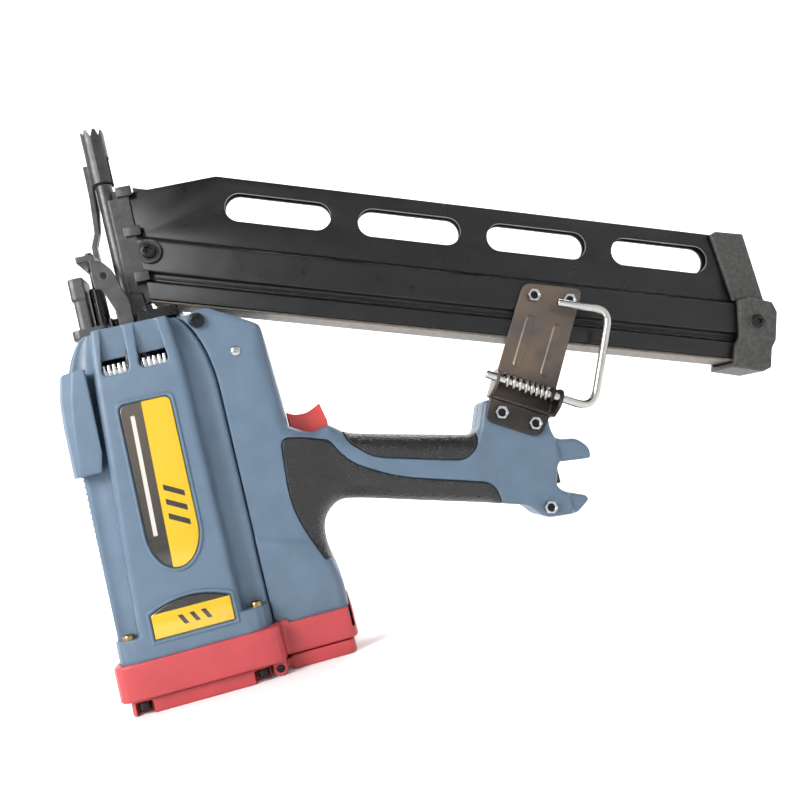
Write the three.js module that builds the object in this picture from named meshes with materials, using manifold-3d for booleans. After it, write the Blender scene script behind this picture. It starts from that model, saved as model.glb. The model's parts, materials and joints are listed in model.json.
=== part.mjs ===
// Gas-powered framing nailer: a combustion nail gun with a long straight stick magazine.
// Units are millimetres and +Z is up. The tool stands on the flat underside of its end cap with the
// muzzle up, so +Z is the driving direction. The origin is where the drive axis meets that underside.
// +X runs from the drive axis towards the handle and the magazine. -Y is the side with the
// nameplates and the rafter hook, called the near side here; +Y is the far side.

import * as THREE from 'three';
import { mergeVertices } from 'three/addons/utils/BufferGeometryUtils.js';
import Module from 'manifold-3d';

const wasm = await Module();
wasm.setup();

// ---------------------------------------------------------------- driving dimensions
const GAP = 0.3;                     // clearance kept between pieces that touch
const FAR_AWAY = 600;                // size of the blocks that cut pieces in half

const HOUSING = { base: 16.3, ledge: 45, top: 234, halfX: 47, halfY: 48, wall: 0.93 };
const DEPTH_TAPER = 0.045;           // the housing loses this much half depth for each mm of height
const SHOULDER = { start: 180, height: 56, drop: 24 };
const PANEL_HALF = 28;               // half width of the flat panel on the near and far faces
const FLUTE = { x: 41.5, y: 42.5, r: 9.2 };

const CAP = { low: 9.7, floor: 16, top: 31.5, grow: 3, rightX: 97, rightY: 36 };
const DOOR = { hingeX: 46, hingeZ: 4.8, pinR: 2.2, knuckleR: 4.4, right: 94, thick: 9 };

const SHELL = { fuelHalf: 33, handleHalf: 19, rearHalf: 16.8, prongHalf: 13, seam: 0.15 };
const GRIP_DEPTH = 2;                // thickness of the rubber on the handle

const BORE = 24;                     // radius of the drive cylinder
const CYLINDER = { low: 86, top: 211, r: 27.5, neckR: 13.5, ribs: 14 };
const SLEEVE_TOP = 98;               // top of the combustion sleeve, where the linkage arms stand
const SPRING_SEAT = 130;             // height of the tabs that the chamber spring pushes up
const DEPTH_X = -19.6;               // the depth adjuster's axis
const NOSE = { foot: 243.3, top: 337, barrelR: 5.5, boreR: 3.9 };
const MUZZLE = { low: 337.5, notch: 370, tip: 375, outerR: 7.7, innerR: 5.9, teeth: 8 };

const MAG_ANGLE = THREE.MathUtils.degToRad(18.5);
const MAG_ORIGIN = new THREE.Vector3(14, 0, 329.1);
const MAG = { top: 18, step: -31, bottom: -72.7, rear: 447, frontX: 15.5, frontZ: 327.6 };
const SLOT = { first: 66, pitch: 91.3, length: 72.5, r: 10, n: -1.7, count: 4 };

const HOOK_ANGLE = THREE.MathUtils.degToRad(31);
const HOOK_ORIGIN = new THREE.Vector3(245, 0, 136.6);
const HOOK = { y: -28, r: 2.65 };
const NUT = { r: 4.6, bore: 2.5, thick: 4.2 };

// ---------------------------------------------------------------- materials
function finish(color, roughness, metalness) {
  return new THREE.MeshStandardMaterial({ color, roughness, metalness });
}

const BLUE = finish(0x5f7690, 0.55, 0);
const RED = finish(0xc9484f, 0.5, 0);
const TRIGGER_RED = finish(0xe24a4a, 0.42, 0);
const RUBBER = finish(0x1c1c1d, 0.8, 0);
const LABEL = finish(0xf0c414, 0.12, 0);
const ANODISED = finish(0x17181a, 0.42, 0.6);
const BROWN_STEEL = finish(0x6a5f57, 0.38, 0.9);
const DARK_STEEL = finish(0x4b4b4d, 0.45, 0.85);
const CAST = finish(0x45433f, 0.62, 0.5);
const CHROME = finish(0xc8c8c8, 0.12, 1);
const ZINC = finish(0xb9bbbd, 0.25, 1);
const ALUMINIUM = finish(0xa9abad, 0.35, 1);
const SPRING_STEEL = finish(0xa8a49c, 0.28, 1);
const BLACK_STEEL = finish(0x1b1b1d, 0.4, 0.7);
const BLACK_PLASTIC = finish(0x202224, 0.5, 0);
const BOARD = finish(0x1f5c38, 0.5, 0);
const CELL = finish(0xd8d8d4, 0.35, 0.4);

// ---------------------------------------------------------------- geometry helpers
function toSolid(geometry) {
  const plain = geometry.clone();
  plain.deleteAttribute('normal');
  plain.deleteAttribute('uv');
  const merged = mergeVertices(plain, 1e-4);
  const mesh = new wasm.Mesh({
    numProp: 3,
    vertProperties: merged.attributes.position.array,
    triVerts: new Uint32Array(merged.index.array),
  });
  return new wasm.Manifold(mesh);
}

function toGeometry(solid) {
  const mesh = solid.getMesh();
  const geometry = new THREE.BufferGeometry();
  geometry.setAttribute('position', new THREE.BufferAttribute(mesh.vertProperties, 3));
  geometry.setIndex(new THREE.BufferAttribute(mesh.triVerts, 1));
  geometry.computeVertexNormals();
  return geometry;
}

function piece(name, material, solid) {
  const mesh = new THREE.Mesh(toGeometry(solid), material);
  mesh.name = name;
  return mesh;
}

function join(solids) {
  return solids.reduce((whole, next) => whole.add(next));
}

// Cuts between nearly flush faces can leave specks with no volume; only the real body is kept.
function cleaned(solid) {
  const bodies = solid.decompose();
  return bodies.reduce((best, next) => (next.volume() > best.volume() ? next : best));
}

function block(xLow, xHigh, yLow, yHigh, zLow, zHigh) {
  const geometry = new THREE.BoxGeometry(xHigh - xLow, yHigh - yLow, zHigh - zLow);
  geometry.translate((xLow + xHigh) / 2, (yLow + yHigh) / 2, (zLow + zHigh) / 2);
  return toSolid(geometry);
}

// A closed outline from corners [u, v, ease]; ease is how far back each corner starts to round.
// A corner tighter than the bevel that will run along it stays sharp, so that the bevel is sound.
function drawn(corners, bevel = 0) {
  const shape = new THREE.Shape();
  const points = corners.map(([u, v]) => new THREE.Vector2(u, v));
  corners.forEach(([, , wanted = 0], i) => {
    const ease = wanted > 2.4 * bevel ? wanted : 0;
    const here = points[i];
    const before = points[(i + points.length - 1) % points.length].clone().sub(here);
    const after = points[(i + 1) % points.length].clone().sub(here);
    const start = before.setLength(Math.min(ease, before.length() * 0.49)).add(here);
    const end = after.setLength(Math.min(ease, after.length() * 0.49)).add(here);
    if (i === 0) shape.moveTo(start.x, start.y);
    else shape.lineTo(start.x, start.y);
    if (ease > 0) shape.quadraticCurveTo(here.x, here.y, end.x, end.y);
  });
  shape.closePath();
  return shape;
}

// The direction square to a line, on its left.
function squareTo(from, to) {
  const along = to.clone().sub(from).normalize();
  return new THREE.Vector2(-along.y, along.x);
}

// The same corners moved inwards by a distance.
function inset(corners, distance) {
  const points = corners.map(([u, v]) => new THREE.Vector2(u, v));
  const turn = Math.sign(THREE.ShapeUtils.area(points)) * distance;
  return corners.map(([, , ease], i) => {
    const here = points[i];
    const one = squareTo(points[(i + points.length - 1) % points.length], here);
    const two = squareTo(here, points[(i + 1) % points.length]);
    const moved = one.clone().add(two).multiplyScalar(turn / (1 + one.dot(two))).add(here);
    return [moved.x, moved.y, ease];
  });
}

function disc(x, y, radius) {
  const shape = new THREE.Shape();
  shape.absarc(x, y, radius, 0, 2 * Math.PI);
  return shape;
}

function extruded(shapeOrCorners, depth, round, segments) {
  const shape = Array.isArray(shapeOrCorners) ? drawn(shapeOrCorners, round) : shapeOrCorners;
  const geometry = new THREE.ExtrudeGeometry(shape, {
    depth: depth - 2 * round,
    curveSegments: segments,
    bevelEnabled: round > 0,
    bevelThickness: round,
    bevelSize: round,
    bevelOffset: -round,
    bevelSegments: 2,
  });
  geometry.translate(0, 0, round);
  return geometry;
}

// A slab whose outline is drawn in X and Z; round is the radius of its long edges.
function slab(shape, yLow, yHigh, round = 0, segments = 3) {
  const geometry = extruded(shape, yHigh - yLow, round, segments);
  geometry.rotateX(Math.PI / 2);
  geometry.translate(0, yHigh, 0);
  return toSolid(geometry);
}

// A plate whose outline is drawn in X and Y.
function plate(shape, zLow, zHigh, round = 0, segments = 3) {
  const geometry = extruded(shape, zHigh - zLow, round, segments);
  geometry.translate(0, 0, zLow);
  return toSolid(geometry);
}

// A bar whose outline is drawn in Y and Z and which runs along X.
function bar(shape, xLow, xHigh, segments = 3) {
  const geometry = extruded(shape, xHigh - xLow, 0, segments);
  const [x, y, z] = [0, 1, 2].map((i) => new THREE.Vector3().setComponent(i, 1));
  geometry.applyMatrix4(new THREE.Matrix4().makeBasis(y, z, x));
  geometry.translate(xLow, 0, 0);
  return toSolid(geometry);
}

// A round bar along X, Y or Z, centred on the other two coordinates.
function round(axis, radius, low, high, centre = [0, 0], segments = 20) {
  const geometry = new THREE.CylinderGeometry(radius, radius, high - low, segments);
  const middle = (low + high) / 2;
  if (axis === 'x') geometry.rotateZ(-Math.PI / 2).translate(middle, ...centre);
  if (axis === 'y') geometry.translate(centre[0], middle, centre[1]);
  if (axis === 'z') geometry.rotateX(Math.PI / 2).translate(...centre, middle);
  return toSolid(geometry);
}

function hexagon(axis, radius, low, high, centre) {
  return round(axis, radius, low, high, centre, 6);
}

// A turned part about the drive axis, from a closed profile of [radius, height].
function turned(profile, segments = 28) {
  const points = profile.map(([r, z]) => new THREE.Vector2(r, z));
  points.push(points[0].clone());
  const geometry = new THREE.LatheGeometry(points, segments);
  geometry.rotateX(Math.PI / 2);
  let solid = toSolid(geometry);
  if (solid.volume() < 0) {
    geometry.index.array.reverse();
    solid = toSolid(geometry);
  }
  return solid;
}

function tube(outer, inner, zLow, zHigh, segments = 28) {
  return turned([[inner, zLow], [outer, zLow], [outer, zHigh], [inner, zHigh]], segments);
}

// A round wire along a curve.
// Its section has twice as many sides as half the count given.
function wire(curve, radius, steps, halfSides = 4) {
  const shape = disc(0, 0, radius);
  const geometry = new THREE.ExtrudeGeometry(shape, {
    steps,
    curveSegments: halfSides,
    bevelEnabled: false,
    extrudePath: curve,
  });
  return toSolid(geometry);
}

class Helix extends THREE.Curve {
  constructor(radius, length, turns) {
    super();
    this.radius = radius;
    this.length = length;
    this.turns = turns;
  }

  getPoint(t, target = new THREE.Vector3()) {
    const angle = 2 * Math.PI * this.turns * t;
    const [across, up] = [this.radius * Math.cos(angle), this.radius * Math.sin(angle)];
    return target.set(across, up, this.length * t);
  }
}

// A coil spring along Z from its low end.
function coil(radius, wireRadius, length, turns, stepsPerTurn = 7) {
  return wire(new Helix(radius, length, turns), wireRadius, Math.round(turns * stepsPerTurn), 3);
}

function nearHalf(solid) {
  return solid.intersect(block(-FAR_AWAY, FAR_AWAY, -FAR_AWAY, -SHELL.seam, -FAR_AWAY, FAR_AWAY));
}

function farHalf(solid) {
  return solid.intersect(block(-FAR_AWAY, FAR_AWAY, SHELL.seam, FAR_AWAY, -FAR_AWAY, FAR_AWAY));
}

function mirrored(shapePoints) {
  return shapePoints.map(([x, y, ease]) => [-x, y, ease]).reverse();
}

// ---------------------------------------------------------------- housing of the motor
const shoulderFall = (z) => {
  const t = Math.max(0, (z - SHOULDER.start) / SHOULDER.height);
  return SHOULDER.drop * (1 - Math.sqrt(Math.max(0, 1 - t * t)));
};
const housingHalfX = (z) => HOUSING.halfX - shoulderFall(z);
const housingHalfY = (z) => HOUSING.halfY - DEPTH_TAPER * Math.max(0, z - CAP.top);

// Plan of the housing: flat panels, and at each corner a round flute for a long screw.
function housingPlan(fluted) {
  const quarter = [[HOUSING.halfX, 0], [HOUSING.halfX, 29]];
  if (fluted) {
    for (const degrees of [297, 270, 240, 210, 180, 153]) {
      const angle = THREE.MathUtils.degToRad(degrees);
      quarter.push([FLUTE.x + FLUTE.r * Math.cos(angle), FLUTE.y + FLUTE.r * Math.sin(angle)]);
    }
  } else {
    quarter.push([HOUSING.halfX, 36], [43.5, 43.5], [36, HOUSING.halfY]);
  }
  quarter.push([PANEL_HALF, HOUSING.halfY]);
  const left = mirrored(quarter);
  const top = [...quarter, ...left];
  const bottom = top.slice(1, -1).map(([x, y]) => [x, -y]).reverse();
  return drawn([...top, ...bottom]);
}

// A column whose plan is scaled at each level, so that it follows the taper and the shoulders.
function column(plan, levels, scale, extra = 0) {
  const steps = levels.length - 1;
  const geometry = new THREE.ExtrudeGeometry(plan, { depth: steps, steps, bevelEnabled: false });
  const position = geometry.attributes.position;
  for (let i = 0; i < position.count; i += 1) {
    const z = levels[Math.round(position.getZ(i))];
    const x = position.getX(i) * ((housingHalfX(z) + extra) / HOUSING.halfX) * scale;
    const y = position.getY(i) * ((housingHalfY(z) + extra) / HOUSING.halfY) * scale;
    position.setXYZ(i, x, y, z);
  }
  return toSolid(geometry);
}

const SHOULDER_LEVELS = [180, 195, 207, 217, 225, 230, HOUSING.top];

function housingOuter(extra = 0, fluted = true) {
  const high = column(housingPlan(fluted), [HOUSING.ledge, ...SHOULDER_LEVELS], 1, extra);
  const low = column(housingPlan(false), [HOUSING.base, CAP.top, HOUSING.ledge], 1, extra);
  return high.add(low);
}

// Sloping scoops on the near and far panels let cooling air over the cylinder.
function vents() {
  const scoop = [[-46, 229.5], [-39.4, 229.5], [-36, 213], [-34, 204], [-46, 204]];
  const cuts = [];
  for (const side of [1, -1]) {
    const shape = scoop.map(([y, z]) => [side * y, z]);
    cuts.push(bar(shape, -18.2, -2), bar(shape, 4.6, 20.8));
  }
  return join(cuts);
}

// Shapes in the plane of the sloping near panel are drawn upright and then leaned onto it.
const PANEL_LEAN = -Math.atan(DEPTH_TAPER);

function onPanel(shape, depthLow, depthHigh, roundEdge = 0) {
  const geometry = extruded(shape, depthHigh - depthLow, roundEdge, 5);
  geometry.rotateX(Math.PI / 2);
  geometry.translate(0, depthHigh, -CAP.top);
  geometry.rotateX(PANEL_LEAN);
  geometry.translate(0, -HOUSING.halfY, CAP.top);
  return toSolid(geometry);
}

function largeLabel(grow) {
  const [left, right, top, low, tip] = [-13.6 - grow, 17.2 + grow, 184 + grow, 104, 80.5 - grow];
  const shape = new THREE.Shape();
  shape.moveTo(left, low);
  shape.absellipse((left + right) / 2, low, (right - left) / 2, low - tip, Math.PI, 2 * Math.PI);
  shape.lineTo(right, top - 5);
  shape.quadraticCurveTo(right, top, right - 5, top);
  shape.lineTo(left + 5, top);
  shape.quadraticCurveTo(left, top, left, top - 5);
  shape.closePath();
  return shape;
}

function smallLabel(grow) {
  const [left, right, low, side, top] = [-21 - grow, 26.5 + grow, 42 - grow, 56 + grow, 68 + grow];
  const shape = new THREE.Shape();
  shape.moveTo(left, low);
  shape.lineTo(right, low);
  shape.lineTo(right, side);
  shape.quadraticCurveTo((left + right) / 2, top, left, side);
  shape.closePath();
  return shape;
}

function motorHousing() {
  const levels = [-1, HOUSING.ledge, ...SHOULDER_LEVELS.slice(0, -1)];
  const cavity = column(housingPlan(true), levels, HOUSING.wall);
  const nearLink = block(-9.5, 7, -25.5, -18.5, 225, 240);
  const farLink = block(-9.5, 7, 18.5, 25.5, 225, 240);
  return housingOuter()
    .subtract(cavity)
    .subtract(round('z', 15, 225, 240))
    .subtract(nearLink)
    .subtract(farLink)
    .subtract(vents())
    .subtract(onPanel(largeLabel(1.2), -5, 1.3))
    .subtract(onPanel(smallLabel(1.2), -5, 1.3));
}

// A flat-sided cover clipped over the front corner of the housing.
function sideCover() {
  const wrap = column(housingPlan(false), [147, 180, 195, 211], 1, 3.2);
  const button = round('x', 4, -52.5, -46, [0, 201], 16);
  const zone = block(-60, -28.5, -43, 43, 140, 220);
  const cavity = housingOuter(GAP + 0.1);
  return wrap.intersect(zone).add(button).subtract(cavity);
}

// ---------------------------------------------------------------- end cap, filter cover, fuel door
function capPlan(grow) {
  const [edge, side] = [HOUSING.halfX + grow, HOUSING.halfY + grow - 0.5];
  const [rightX, rightY] = [CAP.rightX - CAP.grow + grow, CAP.rightY - CAP.grow + grow];
  return [
    [-edge, -side, 12], [edge + 1.5, -side, 12], [edge + 1.5, -rightY, 2], [rightX, -rightY, 8],
    [rightX, rightY, 8], [edge + 1.5, rightY, 2], [edge + 1.5, side, 12], [-edge, side, 12],
  ];
}

function hingeEars() {
  const ears = [];
  for (const side of [-1, 1]) {
    const [yLow, yHigh] = [39 * side, 43.5 * side].sort((a, b) => a - b);
    const [left, right] = [DOOR.hingeX - DOOR.knuckleR, DOOR.hingeX + DOOR.knuckleR];
    ears.push(round('y', DOOR.knuckleR, yLow, yHigh, [DOOR.hingeX, DOOR.hingeZ]));
    ears.push(block(left, right, yLow, yHigh, DOOR.hingeZ, 12));
  }
  return join(ears);
}

function endCap() {
  const body = plate(capPlan(CAP.grow), CAP.low, CAP.top, 1.2, 4);
  const housingPocket = column(housingPlan(false), [CAP.floor, CAP.top + 5], 1, GAP + 0.1);
  const shellPocket = block(46, 95.6, -SHELL.fuelHalf - 0.8, SHELL.fuelHalf + 0.8, CAP.floor, 50);
  const rightTrim = block(56, 120, -60, 60, 29.2, 50);
  return body
    .subtract(housingPocket)
    .subtract(shellPocket)
    .subtract(rightTrim)
    .subtract(round('z', 17, 0, 40))
    .subtract(round('z', 15.2, 0, 40, [66, 0]))
    .add(hingeEars())
    .subtract(round('y', DOOR.pinR + 0.05, -50, 50, [DOOR.hingeX, DOOR.hingeZ], 16));
}

// The ribbed lid over the air filter is the foot that the tool stands on.
function airFilterCover() {
  const lid = plate([
    [-45, -46, 8], [40, -46, 4], [40, 46, 4], [-45, 46, 8],
  ], 0, CAP.low - GAP, 1, 3);
  const pockets = [];
  for (const x of [-36, 35.5]) {
    for (const y of [-42.5, 42.5]) {
      pockets.push(block(x - 5.2, x + 5.2, y - 5.5, y + 5.5, -1, 8));
    }
  }
  const slots = [];
  for (let x = -24; x <= 24; x += 8) {
    slots.push(block(x - 1.5, x + 1.5, 22, 38, -1, 20));
    slots.push(block(x - 1.5, x + 1.5, -38, -22, -1, 20));
  }
  return lid.subtract(join(pockets)).subtract(join(slots));
}

function capScrew(x, y) {
  const head = round('z', 3.6, 3, 7.6, [x, y], 16);
  return head.subtract(hexagon('z', 1.9, 2, 5.4, [x, y]));
}

function fuelDoor() {
  const body = plate([
    [52, -34.5, 3], [DOOR.right, -34.5, 6], [DOOR.right, 34.5, 6], [52, 34.5, 3],
  ], 0, DOOR.thick, 1, 3);
  const knuckle = round('y', DOOR.knuckleR, -38.6, 38.6, [DOOR.hingeX, DOOR.hingeZ]);
  const strap = block(DOOR.hingeX, 54, -34, 34, 2.2, 7.4);
  const plug = plate(disc(66, 0, 12), DOOR.thick - 1, DOOR.thick + 3, 0, 8);
  return body.add(strap).add(plug).add(knuckle)
    .subtract(round('y', DOOR.pinR + 0.15, -50, 50, [DOOR.hingeX, DOOR.hingeZ], 16));
}

// ---------------------------------------------------------------- handle shells and grips
const FUEL_OUTLINE = [
  [46, HOUSING.base], [95.2, HOUSING.base, 1], [95.4, 46, 6], [91.2, 66, 6], [91.5, 90, 8], [84, 110, 8],
  [83, 150, 10], [81, 217.5, 3], [73, 222.5, 2], [49.5, 236, 3], [33, 232.5, 1], [30, 200],
];
const HANDLE_OUTLINE = [
  [78, 84], [92, 84, 9], [104, 95, 12], [120, 91.6, 10], [166, 78, 10], [214, 64], [224, 88],
  [207, 114.5, 9], [156.5, 127, 20], [120, 136.5, 8], [109.5, 144.5], [96, 141.5, 10], [82, 149.5],
];
const REAR_OUTLINE = [
  [205, 66.5], [213, 64, 4], [229, 59.2, 4], [238, 48, 6], [262, 45.5, 3], [272.5, 52.5, 2.5],
  [271, 56, 2], [254.5, 63, 4], [251.3, 68, 2], [256.4, 82.6, 3], [280.7, 79.6, 2], [282, 87, 5],
  [274, 96, 5], [261, 97.6, 5], [256.5, 105, 4], [257.2, 113.6, 2], [221.2, 135.3, 2], [215.5, 135.8, 3],
  [205.5, 114, 3],
];
const LOWER_GRIP = [
  [78, 141.5, 3], [92, 138.6, 5], [107.5, 134.8, 1.5], [118.5, 120, 10], [148, 103.6, 12], [192, 88, 8],
  [209, 81.5, 6], [213, 60], [166, 70], [120, 84], [104, 90], [97, 60], [87.5, 61], [78, 84, 14],
  [74.2, 104, 12],
];
const UPPER_GRIP = [
  [114, 145], [119.5, 130, 5], [133, 116.5, 8], [160, 108.6, 14], [193, 99.6, 6], [204.5, 106.5, 6],
  [207, 122], [160, 134],
];

const ROOT_OUTLINE = [[76, 66], [91, 64], [91, 90, 6], [99, 100, 12], [97, 139, 9], [76, 146]];

// The outer form of the fuel section and the handle, or the same form under a skin of some depth.
function gripForm(depth) {
  const edge = 4.2 - depth;
  const waist = SHELL.fuelHalf - 7 - depth;
  return join([
    slab(inset(HANDLE_OUTLINE, depth), depth - SHELL.handleHalf, SHELL.handleHalf - depth, edge),
    slab(inset(ROOT_OUTLINE, depth), -waist, waist, edge),
    slab(inset(FUEL_OUTLINE, depth), depth - SHELL.fuelHalf, SHELL.fuelHalf - depth, 2.5),
  ]);
}

function handleSolid() {
  const rear = slab(REAR_OUTLINE, -SHELL.rearHalf, SHELL.rearHalf, 1.8);
  const prongTrim = [];
  for (const side of [-1, 1]) {
    const [low, high] = [side * SHELL.prongHalf, side * 40].sort((a, b) => a - b);
    prongTrim.push(block(259, 300, low, high, 30, 120));
  }
  return gripForm(0).add(rear.subtract(join(prongTrim)));
}

function handleCavities() {
  const cellBay = block(50.2, 80.2, -29.5, 29.5, -1, 168);
  const topBay = slab([[50.4, 165], [79, 165], [78.5, 214], [73, 218], [52, 228]], -29.5, 29.5);
  const triggerBay = block(83.3, 110.4, -9.4, 9.4, 128, 170);
  const switchBay = block(80, 112, -8.5, 8.5, 103, 128.5);
  const wiring = slab([[106, 97.5], [206, 70.5], [212, 100], [160, 121], [116, 130]], -14.4, 14.4);
  const batteryBay = slab([
    [204, 71], [216, 68], [235, 62.5], [262, 58], [262, 92], [250, 94], [221, 128], [211, 104],
  ], -13, 13);
  return join([cellBay, topBay, triggerBay, switchBay, wiring, batteryBay]);
}

// Region of the rubber: the skin of the handle inside an outline.
function gripSkin(corners, depth) {
  return gripForm(0).intersect(slab(corners, -40, 40)).subtract(gripForm(depth));
}

function handleShell() {
  const zones = slab(LOWER_GRIP, -40, 40).add(slab(UPPER_GRIP, -40, 40));
  const grooves = zones.subtract(gripForm(GRIP_DEPTH + GAP));
  const cylinderSide = housingOuter(GAP, false);
  const capRoom = block(40, 120, -60, -SHELL.fuelHalf, 0, CAP.top);
  return handleSolid()
    .subtract(grooves)
    .subtract(handleCavities())
    .subtract(cylinderSide)
    .subtract(capRoom)
    .subtract(block(0, HOUSING.halfX + GAP, -60, 60, 0, 150));
}

// ---------------------------------------------------------------- drive unit inside the housing
function cylinder() {
  const wall = turned([
    [BORE, CYLINDER.low], [33.2, CYLINDER.low], [33.2, CYLINDER.low + 5], [CYLINDER.r, CYLINDER.low + 5],
    [CYLINDER.r, CYLINDER.top], [CYLINDER.neckR, CYLINDER.top], [CYLINDER.neckR, HOUSING.top + 2],
    [5, HOUSING.top + 2], [5, CYLINDER.top - 4], [BORE, CYLINDER.top - 4],
  ], 32);
  const ribs = [];
  for (let i = 0; i < CYLINDER.ribs; i += 1) {
    const geometry = new THREE.BoxGeometry(5.5, 2.4, 24);
    geometry.translate(28.4, 0, CYLINDER.top - 12);
    geometry.rotateZ((i + 0.5) * ((2 * Math.PI) / CYLINDER.ribs));
    ribs.push(toSolid(geometry));
  }
  return wall.add(join(ribs));
}

function piston() {
  const crown = turned([[0, 92], [BORE - 0.4, 92], [BORE - 0.4, 100], [0, 100]], 32);
  return crown.add(round('z', 3.3, 99, 246, [0, 0], 14));
}

function bumper() {
  return turned([[6, 201], [14, 200.4], [22, 202], [BORE - 0.5, 206.6], [6, 206.6]], 24);
}

// The sliding wall of the combustion chamber; the muzzle probe pushes it shut over the cylinder head.
function combustionSleeve() {
  const [low, high] = [57, SLEEVE_TOP];
  return join([tube(37, 34, low, high), tube(39, 34, low, low + 4), tube(39.2, 34, high - 4, high)]);
}

const PLUG_X = 22;

function cylinderHead() {
  const disk = turned([[9, 38], [40, 38], [40, 44], [33.4, 44], [33.4, 49], [9, 49]]);
  return disk.subtract(round('z', 5.2, 30, 60, [PLUG_X, 0], 14));
}

function sparkPlug() {
  return join([
    round('z', 4.9, 37.5, 48, [PLUG_X, 0], 14),
    hexagon('z', 7, 31, 37.7, [PLUG_X, 0]),
    round('z', 3, 22, 50.5, [PLUG_X, 0], 10),
  ]);
}

function fanMotor() {
  return join([
    round('z', 13.5, 17, 37.6, [0, 0], 24),
    round('z', 8.6, 37, 48, [0, 0], 18),
    round('z', 1.6, 47, 56, [0, 0], 12),
  ]);
}

function fan() {
  const hub = turned([[1.75, 52], [7, 52], [7, 60], [1.75, 60]], 18);
  const blades = [];
  for (let i = 0; i < 5; i += 1) {
    const geometry = new THREE.BoxGeometry(20, 9, 1.6);
    geometry.rotateX(0.5);
    geometry.translate(15, 0, 56);
    geometry.rotateZ(i * ((2 * Math.PI) / 5));
    blades.push(toSolid(geometry));
  }
  return hub.add(join(blades)).subtract(round('z', 1.75, 50, 70, [0, 0], 18));
}

// ---------------------------------------------------------------- nose, muzzle probe, depth adjuster
function noseFlange() {
  const body = plate([
    [-12, -24, 3], [32, -24, 4], [32, 24, 4], [-12, 24, 3],
  ], HOUSING.top + 2.3, NOSE.foot - GAP);
  const cuts = [round('z', 14, 230, 250)];
  for (const side of [-1, 1]) {
    const [low, high] = [side * 18.6, side * 30].sort((a, b) => a - b);
    cuts.push(block(-9.5, 6.5, low, high, 230, 250));
  }
  return body.subtract(join(cuts)).add(plate([
    [14.5, -20], [30, -20], [30, 20], [14.5, 20],
  ], HOUSING.top + GAP, HOUSING.top + 3));
}

function noseScrew(x, y) {
  const head = hexagon('z', 3.9, NOSE.foot, NOSE.foot + 4, [x, y]);
  return head.add(round('z', 4.6, NOSE.foot, NOSE.foot + 1, [x, y], 16));
}

function nosepiece() {
  const barrel = round('z', NOSE.barrelR, NOSE.foot + 4, NOSE.top, [0, 0], 24);
  const foot = slab([[-9, NOSE.foot], [11.5, NOSE.foot], [10.4, 258], [-5, 262], [-9, 250]], -9, 9);
  const right = MAG.frontX - GAP;
  const rail = slab([[2, 248], [right, 254], [right, 325], [2, 325]], -6.4, 6.4);
  const tabs = [];
  for (const z of [329, 301.5, 268.5]) {
    tabs.push(slab([[8, z - 4], [right, z - 4], [right, z + 2.6], [8, z + 2.6]], -8.5, 8.5));
  }
  const neck = slab([[2, 320], [9.5, 320], [9.5, 331.6], [2, 331.6]], -3.2, 3.2);
  const feedSlot = block(0, 30, -2.9, 2.9, 247, 332);
  return barrel.add(foot).add(rail).add(neck).add(join(tabs))
    .subtract(round('z', NOSE.boreR, 230, 345, [0, 0], 20))
    .subtract(feedSlot);
}

// The toothed sleeve that has to be pressed on the timber, with the arm that pushes the linkage.
function muzzleProbe() {
  const sleeve = tube(MUZZLE.outerR, MUZZLE.innerR, MUZZLE.low, MUZZLE.tip, 24);
  const teeth = [];
  for (let i = 0; i < MUZZLE.teeth; i += 1) {
    const notch = slab([[-2.8, MUZZLE.tip + 2], [0, MUZZLE.notch], [2.8, MUZZLE.tip + 2]], 0, 12);
    const geometry = toGeometry(notch).rotateZ((i * 2 * Math.PI) / MUZZLE.teeth);
    geometry.deleteAttribute('normal');
    teeth.push(toSolid(geometry));
  }
  const slot = block(0, 12, -4, 4, 330, 356);
  const arm = slab([
    [-10.2, 352], [-6.4, 352], [-6.6, 336], [-8.6, 306.5], [-12.6, 297], [-12.6, 286.6], [-16, 286.6],
    [-16, 297], [-12.2, 306], [-10.4, 330],
  ], -3, 3);
  const cuttings = join([round('z', MUZZLE.innerR, 300, 380, [0, 0], 24), slot, ...teeth]);
  return sleeve.add(arm).subtract(cuttings);
}

const LINK_PLATE = [
  [-15.8, 281.5, 2.5], [-9, 281.5, 3], [-2.8, 273.6, 2], [0.2, 262, 3], [3.9, 252, 2], [3.9, 226],
  [-5.5, 226], [-5.9, 246, 2], [-9.5, 256.4, 2], [-12.2, 262.8, 1], [-15.8, 263, 1],
];

function linkageYoke() {
  const parts = [];
  for (const side of [-1, 1]) {
    const [low, high] = [21 * side, 23 * side].sort((a, b) => a - b);
    const cheek = slab(LINK_PLATE, low, high);
    parts.push(cheek.subtract(round('y', 2, -40, 40, [-8.5, 271], 16)));
    const foot = SLEEVE_TOP + GAP;
    const arm = [[21.2, 227], [34.6, 227], [39.2, foot], [36.8, foot], [32.3, 224.4], [21.2, 224.4]];
    parts.push(bar(arm.map(([y, z]) => [side * y, z]), -4.5, 3.9));
  }
  const rodHole = round('z', 2.6, 270, 300, [DEPTH_X, 0], 16);
  parts.push(block(-23.8, -12.4, -23, 23, 282, 286.3).subtract(rodHole));
  for (const side of [-1, 1]) {
    const [low, high] = [21 * side, 23 * side].sort((a, b) => a - b);
    parts.push(block(-15.8, -12.4, low, high, 278, 284));
    const [inner, outer] = [28.6 * side, 36.4 * side].sort((a, b) => a - b);
    parts.push(block(-8, 8, inner, outer, SPRING_SEAT, SPRING_SEAT + 2));
  }
  return join(parts);
}

function depthRod() {
  return round('z', 2.2, 258, 294, [DEPTH_X, 0], 12).add(round('z', 2.9, 287.5, 293, [DEPTH_X, 0], 12));
}

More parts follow.
